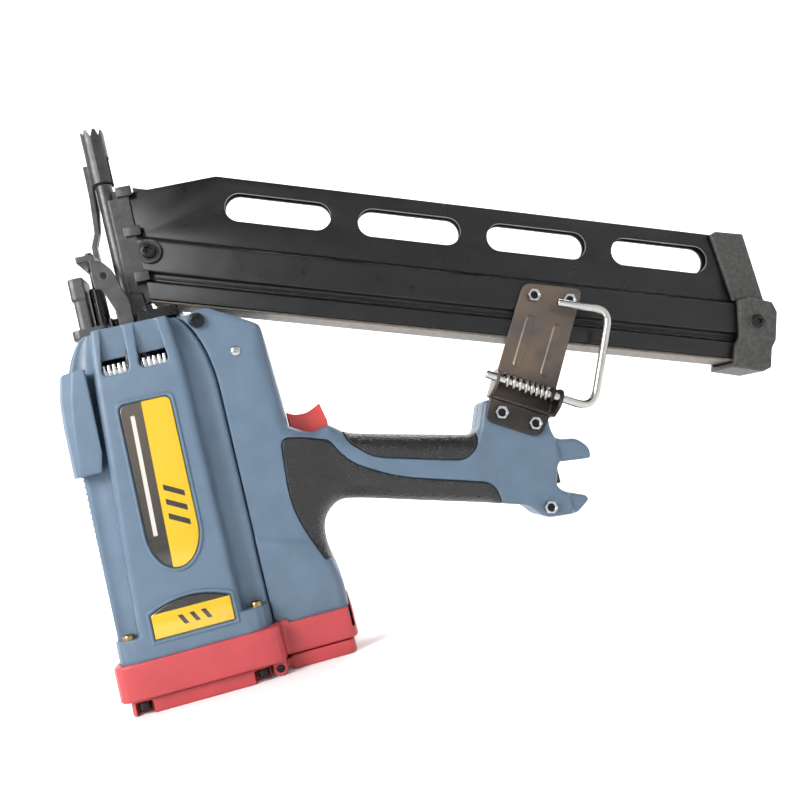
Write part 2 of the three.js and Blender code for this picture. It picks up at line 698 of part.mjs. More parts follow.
function depthKnob() {
  const body = turned([[2.6, 241], [4.6, 241], [5, 242], [5, 268.2], [4.4, 269.4], [2.6, 269.4]], 20);
  const grooves = [];
  for (let i = 0; i < 10; i += 1) {
    const geometry = new THREE.BoxGeometry(1, 1, 40);
    geometry.translate(5.1, 0, 255);
    geometry.rotateZ((i * Math.PI) / 5);
    grooves.push(toSolid(geometry));
  }
  return body.subtract(join(grooves));
}

function depthBody() {
  const foot = plate([[-37, -20, 5], [-14, -20, 2], [-14, 20, 2], [-37, 20, 5]], HOUSING.top + GAP, 240.4);
  const cheek = plate([[-34.4, -9, 4], [-25, -9, 1], [-25, 9, 1], [-34.4, 9, 4]], 240, 262);
  const upper = plate([[-35.4, -9.6, 4], [-25, -9.6, 1], [-25, 9.6, 1], [-35.4, 9.6, 4]], 262, 277, 0.8);
  return foot.add(cheek).add(upper).subtract(round('z', 2.8, 230, 250, [DEPTH_X, 0], 16));
}

// ---------------------------------------------------------------- magazine, drawn in its own frame
// In the magazine's frame X runs along the nail strip and Z across it, both leaned by MAG_ANGLE.
function inMagazine(x, z) {
  const [dx, dz] = [x - MAG_ORIGIN.x, z - MAG_ORIGIN.z];
  const [c, s] = [Math.cos(MAG_ANGLE), Math.sin(MAG_ANGLE)];
  return [dx * c - dz * s, dx * s + dz * c];
}

const onFront = (n) => {
  const z = MAG_ORIGIN.z + (n - (MAG.frontX - MAG_ORIGIN.x) * Math.sin(MAG_ANGLE)) / Math.cos(MAG_ANGLE);
  return inMagazine(MAG.frontX, z);
};
const onTop = (n) => {
  const x = MAG_ORIGIN.x + (n - (MAG.frontZ - MAG_ORIGIN.z) * Math.cos(MAG_ANGLE)) / Math.sin(MAG_ANGLE);
  return inMagazine(x, MAG.frontZ);
};

function magazineSide() {
  const shape = drawn([
    inMagazine(MAG.frontX, MAG.frontZ), onTop(MAG.top), [MAG.rear - 30, MAG.top], [MAG.rear - 10, MAG.step],
    [MAG.rear, MAG.step - 2], [MAG.rear, MAG.bottom], onFront(MAG.bottom),
  ]);
  for (let i = 0; i < SLOT.count; i += 1) {
    const start = SLOT.first + i * SLOT.pitch + SLOT.r;
    const end = start + SLOT.length - 2 * SLOT.r;
    const hole = new THREE.Path();
    hole.absarc(start, SLOT.n, SLOT.r, Math.PI / 2, 1.5 * Math.PI);
    hole.absarc(end, SLOT.n, SLOT.r, 1.5 * Math.PI, 2.5 * Math.PI);
    shape.holes.push(hole);
  }
  return shape;
}

// One half of the magazine: a thin fin above, a hollow box below with a groove in its side.
const MAG_SECTION = [
  [3, MAG.top], [5.2, MAG.top], [5.2, MAG.step + 1], [13.4, MAG.step - 2], [13.4, -54], [11, -55.5],
  [11, -60], [13.4, -61.4], [13.4, MAG.bottom], [3, MAG.bottom], [3, -69.5], [5.2, -69.5],
  [5.2, -63], [3, -61],
];
const MAG_HOLLOWS = [
  [[4.6, -34.6], [11.8, -34.6], [11.8, -53.2], [9.5, -54.7], [9.5, -59.3], [4.6, -59.3]],
  [[6.9, -62.6], [11.8, -62.6], [11.8, -71.1], [6.9, -71.1]],
];

function magazineHalf(side) {
  const toSide = (corners) => corners.map(([y, n]) => [side * y, n]);
  const hollows = MAG_HOLLOWS.map((corners) => bar(toSide(corners), -50, FAR_AWAY));
  const profile = bar(toSide(MAG_SECTION), -40, MAG.rear).subtract(join(hollows));
  const body = profile.intersect(slab(magazineSide(), -20, 20, 0, 6));
  if (side < 0) return body;
  return body.subtract(block(46, 412, 0, 20, -59.6, -55.8));
}

function magazineRail() {
  const floor = block(26, 445, -13.4, 13.4, MAG.bottom - 1.8, MAG.bottom - GAP);
  return floor.subtract(slab([[20, -60], onFront(-60), onFront(-80), [20, -80]], -20, 20));
}

// A hollow casting: its upper part closes over the fins and its lower part over the box section.
function magazineEndCap() {
  const upper = slab([
    [412, 16.5], [416, 20, 2], [437, 20.5, 3], [457, MAG.step], [431.5, MAG.step], [431, -28],
  ], -9, 9, 1.5);
  const lower = slab([
    [431, -30.5, 2], [437, -27.4, 1], [457, -29.4, 1], [461.4, -36.5, 2], [461.4, -57, 2],
    [458.7, -63, 1.5], [458.7, -77, 3], [453, -80.4, 2], [430, -79.4, 1.5], [430.5, -64, 1.5],
    [433.6, -57, 2],
  ], -17.5, 17.5, 1.8);
  const finRoom = slab([
    [400, MAG.top + GAP], [434.6, MAG.top + GAP], [453.6, -28.6], [453.6, -36], [400, -36],
  ], -5.8, 5.8);
  const boxRoom = slab([
    [400, -29.8], [447.6, -29.8], [455.5, -32.8], [458.4, -38.5], [458.4, -56], [455.7, -62],
    [455.7, -75.9], [400, -75.9],
  ], -13.8, 13.8);
  return upper.add(lower).subtract(finRoom).subtract(boxRoom);
}

function socketScrew(radius, x, yFace, z, height) {
  const head = round('y', radius, yFace - height, yFace, [x, z], 18);
  return head.subtract(hexagon('y', radius * 0.5, yFace - height - 1, yFace - height * 0.4, [x, z]));
}

function frontBolt() {
  const flange = round('y', 8, -15.4, -13.4 - GAP, [21.6, -41.3], 24);
  return flange.add(socketScrew(4.6, 21.6, -15.3, -41.3, 3.6));
}

// The follower pushes the nail strip forward; its front is parallel to the nails.
const FOLLOWER_FRONT_X = 18.5;
const FOLLOWER_LENGTH = 28;

function follower() {
  const at = (x, n) => {
    const z = MAG_ORIGIN.z + (n - (x - MAG_ORIGIN.x) * Math.sin(MAG_ANGLE)) / Math.cos(MAG_ANGLE);
    return inMagazine(x, z);
  };
  const rear = FOLLOWER_FRONT_X + FOLLOWER_LENGTH;
  const blade = slab([
    at(FOLLOWER_FRONT_X, 4), at(rear, 4), at(rear, -68.6), at(FOLLOWER_FRONT_X, -68.6),
  ], -2.5, 2.5);
  const foot = slab([
    at(FOLLOWER_FRONT_X, -64), at(rear, -64), at(rear, -68.8), at(FOLLOWER_FRONT_X, -68.8),
  ], -4.7, 4.7);
  const tab = block(46.6, 64, 0, 13.2, -59.2, -56.2);
  const bridge = block(44, 64, -2.5, 2.5, -62, -50);
  return blade.add(foot).add(bridge).add(tab).subtract(round('y', 7.4, -20, 20, [55.5, -36], 20))
    .subtract(block(50, 70, -5, 5, -46, -28));
}

function followerSpring() {
  return round('y', 6.6, -2.3, 2.3, [56, -38], 20).subtract(round('y', 2.6, -5, 5, [56, -38], 14));
}

// ---------------------------------------------------------------- bracket and hook, in the hook's frame
// In this frame X runs along the hook's rod and Z up the bracket.
const UPPER_PLATE = [
  [-21.5, -11.5, 1], [22, -11.5, 1], [20.4, 60, 1], [20, 80.4, 6], [-21.6, 71.2, 6], [-21.5, 20, 1],
];
const LOWER_PLATE = [[-20.5, -29, 6], [19.5, -29, 6], [22, -11.6, 1], [-21.5, -11.6, 1]];
const NUT_SPOTS = [[-12.5, 64.3], [12.4, 69], [-11.7, -20.6], [12.6, -20.6]];

function bracket(side) {
  const between = (a, b) => [a * side, b * side].sort((p, q) => p - q);
  const upper = slab(UPPER_PLATE, ...between(13.8, 15.8));
  const lower = slab(LOWER_PLATE, ...between(17.2, 19.2));
  const lip = block(-21.5, 22, ...between(13.8, 25), -13, -11);
  const holes = NUT_SPOTS.map(([x, z]) => round('y', 2.6, -40, 40, [x, z], 12));
  return upper.add(lower).add(lip).subtract(join(holes));
}

// The far plate is narrower than the near one.
function farBracket() {
  return bracket(1).subtract(block(-30, -15.7, 0, 40, -40, 90));
}

function nearBracket() {
  const ears = [];
  for (const [low, high] of [[-23.5, -21.3], [21.6, 23.8]]) {
    const shape = [[-13.8, -13, 1], [-13.8, 7, 1], [-27, 6.6, 5], [-33, 2, 4], [-33, -6, 4], [-25, -13, 2]];
    ears.push(bar(shape, low, high));
  }
  const ribs = [];
  for (const x of [-9.6, 10.5]) {
    const shape = new THREE.Shape();
    shape.absarc(x, 48, 2.6, 0, Math.PI);
    shape.absarc(x, 15.5, 2.6, Math.PI, 2 * Math.PI);
    ribs.push(slab(shape, -16.6, -15.6, 0, 5));
  }
  return bracket(-1).add(join(ears)).add(join(ribs))
    .subtract(round('x', HOOK.r + 0.25, -30, 30, [HOOK.y, 0], 16));
}

function nutAt(x, z, yFace) {
  const body = hexagon('y', NUT.r, yFace - NUT.thick, yFace, [x, z]);
  return body.subtract(round('y', NUT.bore, yFace - 10, yFace + 10, [x, z], 14));
}

function rafterHook() {
  const points = [
    [-30.5, 0], [-10, 0], [20, 0], [33, 0], [39.5, 1.6], [43.6, 7.5], [44.4, 20], [42.6, 40], [40, 57],
    [37, 64.5], [30, 67.3], [18, 65.6], [2.5, 61.8],
  ];
  const places = points.map(([x, z]) => new THREE.Vector3(x, HOOK.y, z));
  return wire(new THREE.CatmullRomCurve3(places, false, 'centripetal'), HOOK.r, 40, 5);
}

// ---------------------------------------------------------------- controls and electrics
function trigger() {
  return slab([
    [84, 159.4, 1], [89, 156.4, 3], [97, 155.6, 4], [103.5, 158.4, 2], [107.2, 160.4, 1], [109.9, 147.5, 1],
    [109.5, 141], [84, 141],
  ], -8.8, 8.8, 1.2);
}

function switchBlock() {
  return block(86, 106, -6, 6, 106, 122).add(block(94, 98, -3, 3, 121, 126));
}

function circuitBoard() {
  return slab([[116, 99], [176, 83], [179, 94], [119, 110]], 3, 4.6);
}

function batteryTerminals() {
  const body = block(240, 250.5, -9, 9, 64, 84);
  return body.add(block(250, 257, -6.5, -5, 68, 80)).add(block(250, 257, 5, 6.5, 68, 80));
}

function fuelCell() {
  return turned([
    [0, 14], [11, 14], [13.6, 17], [13.6, 140], [10, 147], [5.5, 149], [5.5, 153], [3, 154],
    [3, 159], [0, 159],
  ], 28);
}

// ---------------------------------------------------------------- assembly
const tool = new THREE.Group();

const shell = handleShell();
const lowerGrip = gripSkin(LOWER_GRIP, GRIP_DEPTH);
const upperGrip = gripSkin(UPPER_GRIP, GRIP_DEPTH);

tool.add(
  piece('motor_housing', BLUE, motorHousing()),
  piece('side_cover', BLUE, sideCover()),
  piece('end_cap', RED, endCap()),
  piece('air_filter_cover', RED, airFilterCover()),
  piece('fuel_door', RED, fuelDoor()),
  piece('fuel_door_pin', BLACK_STEEL, round('y', DOOR.pinR, -43.8, 43.8, [DOOR.hingeX, DOOR.hingeZ], 16)),
  piece('nameplate_large', LABEL, onPanel(largeLabel(0.8), -0.1, 1, 0.3)),
  piece('nameplate_small', LABEL, onPanel(smallLabel(0.8), -0.1, 1, 0.3)),
  piece('handle_shell_near', BLUE, cleaned(nearHalf(shell))),
  piece('handle_shell_far', BLUE, cleaned(farHalf(shell))),
  piece('lower_grip_near', RUBBER, nearHalf(lowerGrip)),
  piece('lower_grip_far', RUBBER, farHalf(lowerGrip)),
  piece('upper_grip_near', RUBBER, nearHalf(upperGrip)),
  piece('upper_grip_far', RUBBER, farHalf(upperGrip)),
  piece('cylinder', ALUMINIUM, cylinder()),
  piece('piston', DARK_STEEL, piston()),
  piece('bumper', RUBBER, bumper()),
  piece('combustion_sleeve', ALUMINIUM, combustionSleeve()),
  piece('cylinder_head', ALUMINIUM, cylinderHead()),
  piece('spark_plug', ZINC, sparkPlug()),
  piece('fan_motor', DARK_STEEL, fanMotor()),
  piece('fan', ALUMINIUM, fan()),
  piece('nose_flange', BLACK_STEEL, noseFlange()),
  piece('nosepiece', DARK_STEEL, nosepiece()),
  piece('muzzle_probe', DARK_STEEL, muzzleProbe()),
  piece('linkage_yoke', DARK_STEEL, linkageYoke()),
  piece('depth_rod', BLACK_STEEL, depthRod()),
  piece('depth_body', DARK_STEEL, depthBody()),
  piece('trigger', TRIGGER_RED, trigger()),
  piece('trigger_switch', BLACK_PLASTIC, switchBlock()),
  piece('circuit_board', BOARD, circuitBoard()),
  piece('battery_terminals', BLACK_PLASTIC, batteryTerminals()),
  piece('fuel_cell', CELL, fuelCell()),
);

const knob = piece('depth_knob', BLACK_STEEL, depthKnob());
knob.position.set(DEPTH_X, 0, 0);
tool.add(knob);

tool.getObjectByName('fuel_cell').position.set(66, 0, 0);

[[-36, -42.5], [35.5, -42.5], [-36, 42.5], [35.5, 42.5]].forEach(([x, y], i) => {
  tool.add(piece(`cap_screw_${i + 1}`, BLACK_STEEL, capScrew(x, y)));
});
tool.add(piece('nose_screw_near', BLACK_STEEL, noseScrew(12.5, -16)));
tool.add(piece('nose_screw_far', BLACK_STEEL, noseScrew(12.5, 16)));

const chamberSpring = piece('chamber_spring', SPRING_STEEL, coil(30.5, 1.2, SPRING_SEAT - 94.2, 4, 11));
chamberSpring.position.set(0, 0, 92.7);
tool.add(chamberSpring);

const triggerSpring = piece('trigger_spring', SPRING_STEEL, coil(4, 0.6, 10.6, 4, 6));
triggerSpring.position.set(96, 0, 129.2);
tool.add(triggerSpring);

tool.add(piece('shell_screw', BLACK_STEEL, socketScrew(4.9, 43, -SHELL.fuelHalf - GAP, 227.6, 2)));
tool.add(piece('rear_nut', ZINC, nutAt(242, 55, -SHELL.rearHalf - GAP)));

const magazine = new THREE.Group();
magazine.position.copy(MAG_ORIGIN);
magazine.rotation.y = MAG_ANGLE;
magazine.add(
  piece('magazine_near', ANODISED, magazineHalf(-1)),
  piece('magazine_far', ANODISED, magazineHalf(1)),
  piece('magazine_rail', BROWN_STEEL, magazineRail()),
  piece('magazine_end_cap', CAST, magazineEndCap()),
  piece('magazine_end_screw', BLACK_STEEL, socketScrew(4.8, 445.7, -17.5 - GAP, -45.1, 1.6)),
  piece('magazine_front_bolt', BLACK_STEEL, frontBolt()),
  piece('follower', BLACK_PLASTIC, follower()),
  piece('follower_spring', SPRING_STEEL, followerSpring()),
);
tool.add(magazine);

const hookGroup = new THREE.Group();
hookGroup.position.copy(HOOK_ORIGIN);
hookGroup.rotation.y = HOOK_ANGLE;
hookGroup.add(
  piece('bracket_near', BROWN_STEEL, nearBracket()),
  piece('bracket_far', BROWN_STEEL, farBracket()),
  piece('rafter_hook', CHROME, rafterHook()),
);
NUT_SPOTS.forEach(([x, z], i) => {
  const yFace = i < 2 ? -15.8 - GAP : -19.2 - GAP;
  hookGroup.add(piece(`bracket_nut_${i + 1}`, ZINC, nutAt(x, z, yFace)));
});
const hookSpring = piece('hook_spring', SPRING_STEEL, coil(4.3, 0.75, 34, 9, 6));
hookSpring.rotation.y = Math.PI / 2;
hookSpring.position.set(-17.4, HOOK.y, 0);
hookGroup.add(hookSpring);
tool.add(hookGroup);

tool.updateMatrixWorld(true);

export default tool;
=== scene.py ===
"""The look of a gas-powered framing nailer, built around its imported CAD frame.

Lengths are in metres in the CAD frame: +Z is the driving direction, +X runs from the drive axis
towards the handle and the magazine, and -Y is the near side. Outlines are drawn in millimetres and
turned into metres as they are made.
"""

import json
import math

import bmesh
import bpy
import numpy as np
from mathutils import Matrix, Vector, geometry


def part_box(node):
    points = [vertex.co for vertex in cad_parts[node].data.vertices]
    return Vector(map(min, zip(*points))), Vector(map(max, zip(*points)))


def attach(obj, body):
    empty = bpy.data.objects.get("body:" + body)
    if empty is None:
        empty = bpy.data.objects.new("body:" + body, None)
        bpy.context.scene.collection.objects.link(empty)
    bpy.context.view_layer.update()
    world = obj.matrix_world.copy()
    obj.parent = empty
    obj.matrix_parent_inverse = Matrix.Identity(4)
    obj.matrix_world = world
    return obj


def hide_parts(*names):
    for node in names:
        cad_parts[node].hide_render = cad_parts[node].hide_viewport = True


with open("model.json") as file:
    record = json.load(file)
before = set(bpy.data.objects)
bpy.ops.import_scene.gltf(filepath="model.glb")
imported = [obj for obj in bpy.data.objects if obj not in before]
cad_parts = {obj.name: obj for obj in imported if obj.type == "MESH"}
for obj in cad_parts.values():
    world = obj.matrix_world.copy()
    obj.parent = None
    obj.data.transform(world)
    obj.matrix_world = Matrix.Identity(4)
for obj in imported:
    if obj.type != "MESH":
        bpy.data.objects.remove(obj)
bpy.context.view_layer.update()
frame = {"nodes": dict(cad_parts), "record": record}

MM = 0.001
ROOT = "tool_body"


def box_mm(node):
    """A CAD node's lowest and highest corners in millimetres."""
    low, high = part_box(node)
    return Vector(low) / MM, Vector(high) / MM


# ------------ camera
CAMERA_AIM = Vector((162.1, 0.0, 150.0)) * MM
CAMERA_DISTANCE = 553.5 * MM
CAMERA_HEADING = 7.449
CAMERA_PITCH = 2.846
CAMERA_ROLL = -13.732


def add_camera():
    data = bpy.data.cameras.new("camera")
    data.lens = 36.0
    data.sensor_width = 36.0
    data.clip_start = 0.01
    camera = bpy.data.objects.new("camera", data)
    bpy.context.scene.collection.objects.link(camera)
    heading, pitch, roll = (math.radians(a) for a in (CAMERA_HEADING, CAMERA_PITCH, CAMERA_ROLL))
    turn = (Matrix.Rotation(-heading, 4, "Z") @ Matrix.Rotation(math.pi / 2 + pitch, 4, "X")
            @ Matrix.Rotation(roll, 4, "Z"))
    back = turn.to_3x3() @ Vector((0, 0, 1))
    camera.matrix_world = Matrix.Translation(CAMERA_AIM + back * CAMERA_DISTANCE) @ turn
    bpy.context.scene.camera = camera


add_camera()


# ------------ mesh helpers
def new_object(name, mesh):
    piece = bpy.data.objects.new(name, mesh)
    bpy.context.scene.collection.objects.link(piece)
    return piece


def from_bmesh(name, bm):
    bmesh.ops.recalc_face_normals(bm, faces=bm.faces)
    mesh = bpy.data.meshes.new(name)
    bm.to_mesh(mesh)
    bm.free()
    return new_object(name, mesh)


def applied(piece):
    """Turns the result of a piece's modifiers into its mesh."""
    bpy.context.view_layer.update()
    evaluated = piece.evaluated_get(bpy.context.evaluated_depsgraph_get())
    mesh = bpy.data.meshes.new_from_object(evaluated)
    old = piece.data
    piece.modifiers.clear()
    piece.data = mesh
    bpy.data.meshes.remove(old)
    return piece


def bend(start, corner, end, steps):
    """Points of a rounded corner."""
    return [start * (1 - t) ** 2 + corner * 2 * t * (1 - t) + end * t ** 2
            for t in (k / steps for k in range(steps + 1))]


def outline(corners, steps=6):
    """Points of a closed outline from corners (u, v, ease); ease is where each corner starts to round."""
    points = []
    count = len(corners)
    for i, corner in enumerate(corners):
        here = Vector(corner[:2])
        ease = corner[2] if len(corner) > 2 else 0
        if ease <= 0:
            points.append(here)
            continue
        before = Vector(corners[i - 1][:2]) - here
        after = Vector(corners[(i + 1) % count][:2]) - here
        start = here + before.normalized() * min(ease, before.length * 0.49)
        end = here + after.normalized() * min(ease, after.length * 0.49)
        points.extend(bend(start, here, end, steps))
    return points


PLANES = {
    "x": lambda u, v, w: (w, u, v),
    "y": lambda u, v, w: (u, w, v),
    "z": lambda u, v, w: (u, v, w),
}


def loft(name, rings):
    """A closed solid through rings of equally many points in millimetres."""
    bm = bmesh.new()
    rows = [[bm.verts.new(Vector(p) * MM) for p in ring] for ring in rings]
    bm.faces.new(rows[0])
    bm.faces.new(rows[-1])
    count = len(rows[0])
    for lower, upper in zip(rows, rows[1:]):
        for i in range(count):
            j = (i + 1) % count
            bm.faces.new((lower[i], lower[j], upper[j], upper[i]))
    return from_bmesh(name, bm)


def prism(name, points, low, high, axis):
    """A closed solid with an outline in the plane across an axis, between two heights on the axis."""
    return loft(name, [[PLANES[axis](p[0], p[1], h) for p in points] for h in (low, high)])


def block(name, low, high):
    """A box between two opposite corners."""
    (x0, y0, z0), (x1, y1, z1) = low, high
    return prism(name, [(x0, y0), (x1, y0), (x1, y1), (x0, y1)], z0, z1, "z")


def circle(radius, count=32):
    angles = (2 * math.pi * i / count for i in range(count))
    return [(radius * math.cos(a), radius * math.sin(a)) for a in angles]


def turned(name, profile, segments=48):
    """A surface of revolution about Z from a profile of (radius, height).

    A profile that starts off the axis is closed into a ring.
    """
    bm = bmesh.new()
    rings = []
    for radius, height in profile:
        if radius == 0:
            rings.append([bm.verts.new((0, 0, height * MM))] * segments)
        else:
            rings.append([bm.verts.new((x * MM, y * MM, height * MM))
                          for x, y in circle(radius, count=segments)])
    closed = profile[0][0] > 0
    pairs = list(zip(rings, rings[1:])) + ([(rings[-1], rings[0])] if closed else [])
    for lower, upper in pairs:
        for i in range(segments):
            j = (i + 1) % segments
            corners = list(dict.fromkeys((lower[i], lower[j], upper[j], upper[i])))
            if len(corners) > 2:
                bm.faces.new(corners)
    return from_bmesh(name, bm)


def drop(*pieces):
    for piece in pieces:
        bpy.data.objects.remove(piece)


def boolean(target, tools, operation="DIFFERENCE"):
    for tool in tools:
        cut = target.modifiers.new("cut", "BOOLEAN")
        cut.operation = operation
        cut.solver = "MANIFOLD"
        cut.object = tool
    applied(target)
    drop(*tools)
    return target


def merged(name, parts):
    """One object from several, without joining their surfaces."""
    bm = bmesh.new()
    for part in parts:
        part.data.transform(part.matrix_world)
        bm.from_mesh(part.data)
    mesh = bpy.data.meshes.new(name)
    bm.to_mesh(mesh)
    bm.free()
    drop(*parts)
    return new_object(name, mesh)


def moved(piece, matrix):
    piece.data.transform(matrix)
    return piece


def smooth_faces(piece):
    piece.data.polygons.foreach_set("use_smooth", [True] * len(piece.data.polygons))
    return piece


def moulded(piece, voxel, rounds=4, keep=0.35):
    """Gives a solid the soft edges of a moulding: remeshed in fine voxels, smoothed, then thinned."""
    remesh = piece.modifiers.new("remesh", "REMESH")
    remesh.mode = "VOXEL"
    remesh.voxel_size = voxel * MM
    smooth = piece.modifiers.new("smooth", "SMOOTH")
    smooth.factor = 0.5
    smooth.iterations = rounds
    if keep < 1:
        thin = piece.modifiers.new("thin", "DECIMATE")
        thin.ratio = keep
    applied(piece)
    return smooth_faces(piece)


def edged(piece, width, angle=40, segments=3, shade=50):
    """Rounds the edges of a solid with flat faces."""
    bevel = piece.modifiers.new("bevel", "BEVEL")
    bevel.width = width * MM
    bevel.segments = segments
    bevel.limit_method = "ANGLE"
    bevel.angle_limit = math.radians(angle)
    applied(piece)
    return shade_by_angle(piece, shade)


def shade_by_angle(piece, degrees):
    """Smooth shading, with the edges that turn by more than an angle kept sharp."""
    smooth_faces(piece)
    mesh = piece.data
    bm = bmesh.new()
    bm.from_mesh(mesh)
    limit = math.radians(degrees)
    for edge in bm.edges:
        edge.smooth = len(edge.link_faces) == 2 and edge.calc_face_angle(0) < limit
    bm.to_mesh(mesh)
    bm.free()
    return piece


MIRROR = Matrix.Scale(-1, 4, Vector((0, 1, 0)))


def mirrored(piece):
    """Moves a piece to its mirror image across the drive plane."""
    moved(piece, MIRROR).data.flip_normals()
    return piece


def copied(source, name):
    mesh = source.data.copy()
    mesh.name = name
    return new_object(name, mesh)


def copy_of(node, name):
    """A new object with a copy of a CAD node's mesh, its seams closed."""
    mesh = frame["nodes"][node].data.copy()
    mesh.materials.clear()
    bm = bmesh.new()
    bm.from_mesh(mesh)
    bmesh.ops.remove_doubles(bm, verts=bm.verts, dist=1e-6)
    bmesh.ops.dissolve_limit(bm, angle_limit=math.radians(0.3), verts=bm.verts, edges=bm.edges)
    bm.to_mesh(mesh)
    bm.free()
    mesh.name = name
    return new_object(name, mesh)


SLOT_OF = {part["node"]: part["material_slot"] for part in frame["record"]["subparts"]}
BODIES = frame["record"]["behaviour"]["bodies"]
BODY_OF = {node: body for body, nodes in BODIES.items() for node in nodes}
JOINTS = {joint["name"]: joint for joint in frame["record"]["behaviour"]["joints"]}


def painted(piece, paint):
    piece.data.materials.clear()
    piece.data.materials.append(PAINTS[paint])


def finished(piece, *nodes, paint=None):
    """Paints a piece, by default with the paint named by the CAD nodes' slot, puts it on their body and
    hides the nodes that it stands in for.
    """
    painted(piece, paint or SLOT_OF[nodes[0]])
    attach(piece, BODY_OF[nodes[0]])
    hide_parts(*nodes)


def trim(piece, body, slot, paint=None):
    """Paints a piece that has no CAD node of its own and puts it on a body."""
    painted(piece, paint or slot)
    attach(piece, body)


# ------------ materials
STRIPE_SOFT = 0.2


class Paint:
    """Builds one procedural material; positions are the piece's own coordinates in millimetres."""

    def __init__(self, name, color, roughness, metallic=0.0, **sockets):
        self.material = bpy.data.materials.new(name)
        self.material.use_nodes = True
        self.tree = self.material.node_tree
        self.shader = self.tree.nodes["Principled BSDF"]
        self.shader.inputs["Base Color"].default_value = (*color, 1)
        self.shader.inputs["Roughness"].default_value = roughness
        self.shader.inputs["Metallic"].default_value = metallic
        for socket, value in sockets.items():
            self.shader.inputs[socket.replace("_", " ")].default_value = value
        self.color = color
        self.roughness = roughness
        coordinates = self.add("ShaderNodeTexCoord").outputs["Object"]
        scale = self.add("ShaderNodeVectorMath", operation="SCALE")
        scale.inputs["Scale"].default_value = 1 / MM
        self.link(coordinates, scale.inputs[0])
        self.position = scale.outputs[0]
        self.normal = None

    def add(self, kind, **settings):
        node = self.tree.nodes.new(kind)
        for key, value in settings.items():
            setattr(node, key, value)
        return node

    def link(self, output, socket):
        self.tree.links.new(output, socket)

    def noise(self, size, detail=2.0, stretch=(1, 1, 1)):
        """Noise whose features are about size millimetres across."""
        where = self.position
        if stretch != (1, 1, 1):
            squeeze = self.add("ShaderNodeVectorMath", operation="MULTIPLY")
            squeeze.inputs[1].default_value = stretch
            self.link(where, squeeze.inputs[0])
            where = squeeze.outputs[0]
        node = self.add("ShaderNodeTexNoise")
        node.inputs["Scale"].default_value = 1 / size
        node.inputs["Detail"].default_value = detail
        self.link(where, node.inputs["Vector"])
        return node.outputs["Fac"]

    def cells(self, size, feature="F1"):
        node = self.add("ShaderNodeTexVoronoi", feature=feature)
        node.inputs["Scale"].default_value = 1 / size
        self.link(self.position, node.inputs["Vector"])
        return node.outputs["Distance"]

    def spread(self, value, low, high, to_low=0.0, to_high=1.0):
        node = self.add("ShaderNodeMapRange")
        ranges = {"From Min": low, "From Max": high, "To Min": to_low, "To Max": to_high}
        for socket, number in ranges.items():
            node.inputs[socket].default_value = number
        self.link(value, node.inputs["Value"])
        return node.outputs["Result"]

    def blend(self, factor, one, two):
        """A mix of two colours, each a tuple or an output."""
        node = self.add("ShaderNodeMix", data_type="RGBA")
        self.link(factor, node.inputs["Factor"])
        for socket, color in ((node.inputs["A"], one), (node.inputs["B"], two)):
            if isinstance(color, tuple):
                socket.default_value = (*color, 1)
            else:
                self.link(color, socket)
        return node.outputs["Result"]

    def colored(self, output):
        self.link(output, self.shader.inputs["Base Color"])
        return self

    def varied(self, size=9.0, amount=0.12):
        """Slow changes of the base colour, darker and lighter by a share of it."""
        dark = tuple(c * (1 - amount) for c in self.color)
        light = tuple(min(1.0, c * (1 + amount)) for c in self.color)
        return self.colored(self.blend(self.spread(self.noise(size, 4), 0.3, 0.7), dark, light))

    def polished(self, size=4.0, amount=0.06, stretch=(1, 1, 1)):
        """Uneven roughness."""
        low, high = self.roughness - amount, self.roughness + amount
        rough = self.spread(self.noise(size, 5, stretch), 0.3, 0.7, low, high)
        self.link(rough, self.shader.inputs["Roughness"])
        return self

    def rough_by(self, value, strength, depth):
        """Adds a bump of some depth in millimetres."""
        node = self.add("ShaderNodeBump")
        node.inputs["Strength"].default_value = strength
        node.inputs["Distance"].default_value = depth * MM
        self.link(value, node.inputs["Height"])
        if self.normal:
            self.link(self.normal, node.inputs["Normal"])
        self.normal = node.outputs["Normal"]
        self.link(self.normal, self.shader.inputs["Normal"])
        return self

    def math(self, operation, value, number):
        """A calculation from an output and a number or second output."""
        node = self.add("ShaderNodeMath", operation=operation)
        self.link(value, node.inputs[0])
        if isinstance(number, (int, float)):
            node.inputs[1].default_value = number
        else:
            self.link(number, node.inputs[1])
        return node.outputs[0]

    def product(self, one, two):
        return self.math("MULTIPLY", one, two)

    def between(self, value, low, high, soft):
        """One from low to high and nothing outside, with soft ends inside the range."""
        return self.product(self.spread(value, low, low + soft), self.spread(value, high, high - soft))

    def stripe(self, value, middle, half):
        """One within half a width of the middle, with soft edges."""
        away = self.math("ABSOLUTE", self.math("SUBTRACT", value, middle), 0.0)
        return self.spread(away, half, half - STRIPE_SOFT)

    def repeat(self, value, period):
        """The value within its period; whole periods are added to keep it positive."""
        return self.math("MODULO", self.math("ADD", value, 1000.0 * period), period)

    def axis(self, index):
        node = self.add("ShaderNodeSeparateXYZ")
        self.link(self.position, node.inputs[0])
        return node.outputs[index]

    def sum(self, *terms):
        """A weighted sum of outputs, from pairs of output and weight; a number alone is added."""
        total = None
        for term in terms:
            value = self.product(*term) if isinstance(term, tuple) else term
            total = value if total is None else self.math("ADD", total, value)
        return total


def plastic(name, color, roughness, grain=0.35, depth=0.02):
    """Moulded nylon: a fine spark-eroded grain, slow colour changes and uneven gloss."""
    paint = Paint(name, color, roughness).varied(14, 0.07).polished(6, 0.05)
    return paint.rough_by(paint.noise(grain, 3), 0.35, depth).material


def pebbled_rubber():
    paint = Paint("grip_rubber", (0.009, 0.009, 0.0095), 0.36)
    paint.varied(3, 0.25).polished(2, 0.08)
    paint.rough_by(paint.cells(1.3, "SMOOTH_F1"), 1.0, 0.6)
    return paint.rough_by(paint.noise(0.35, 3), 0.4, 0.05).material


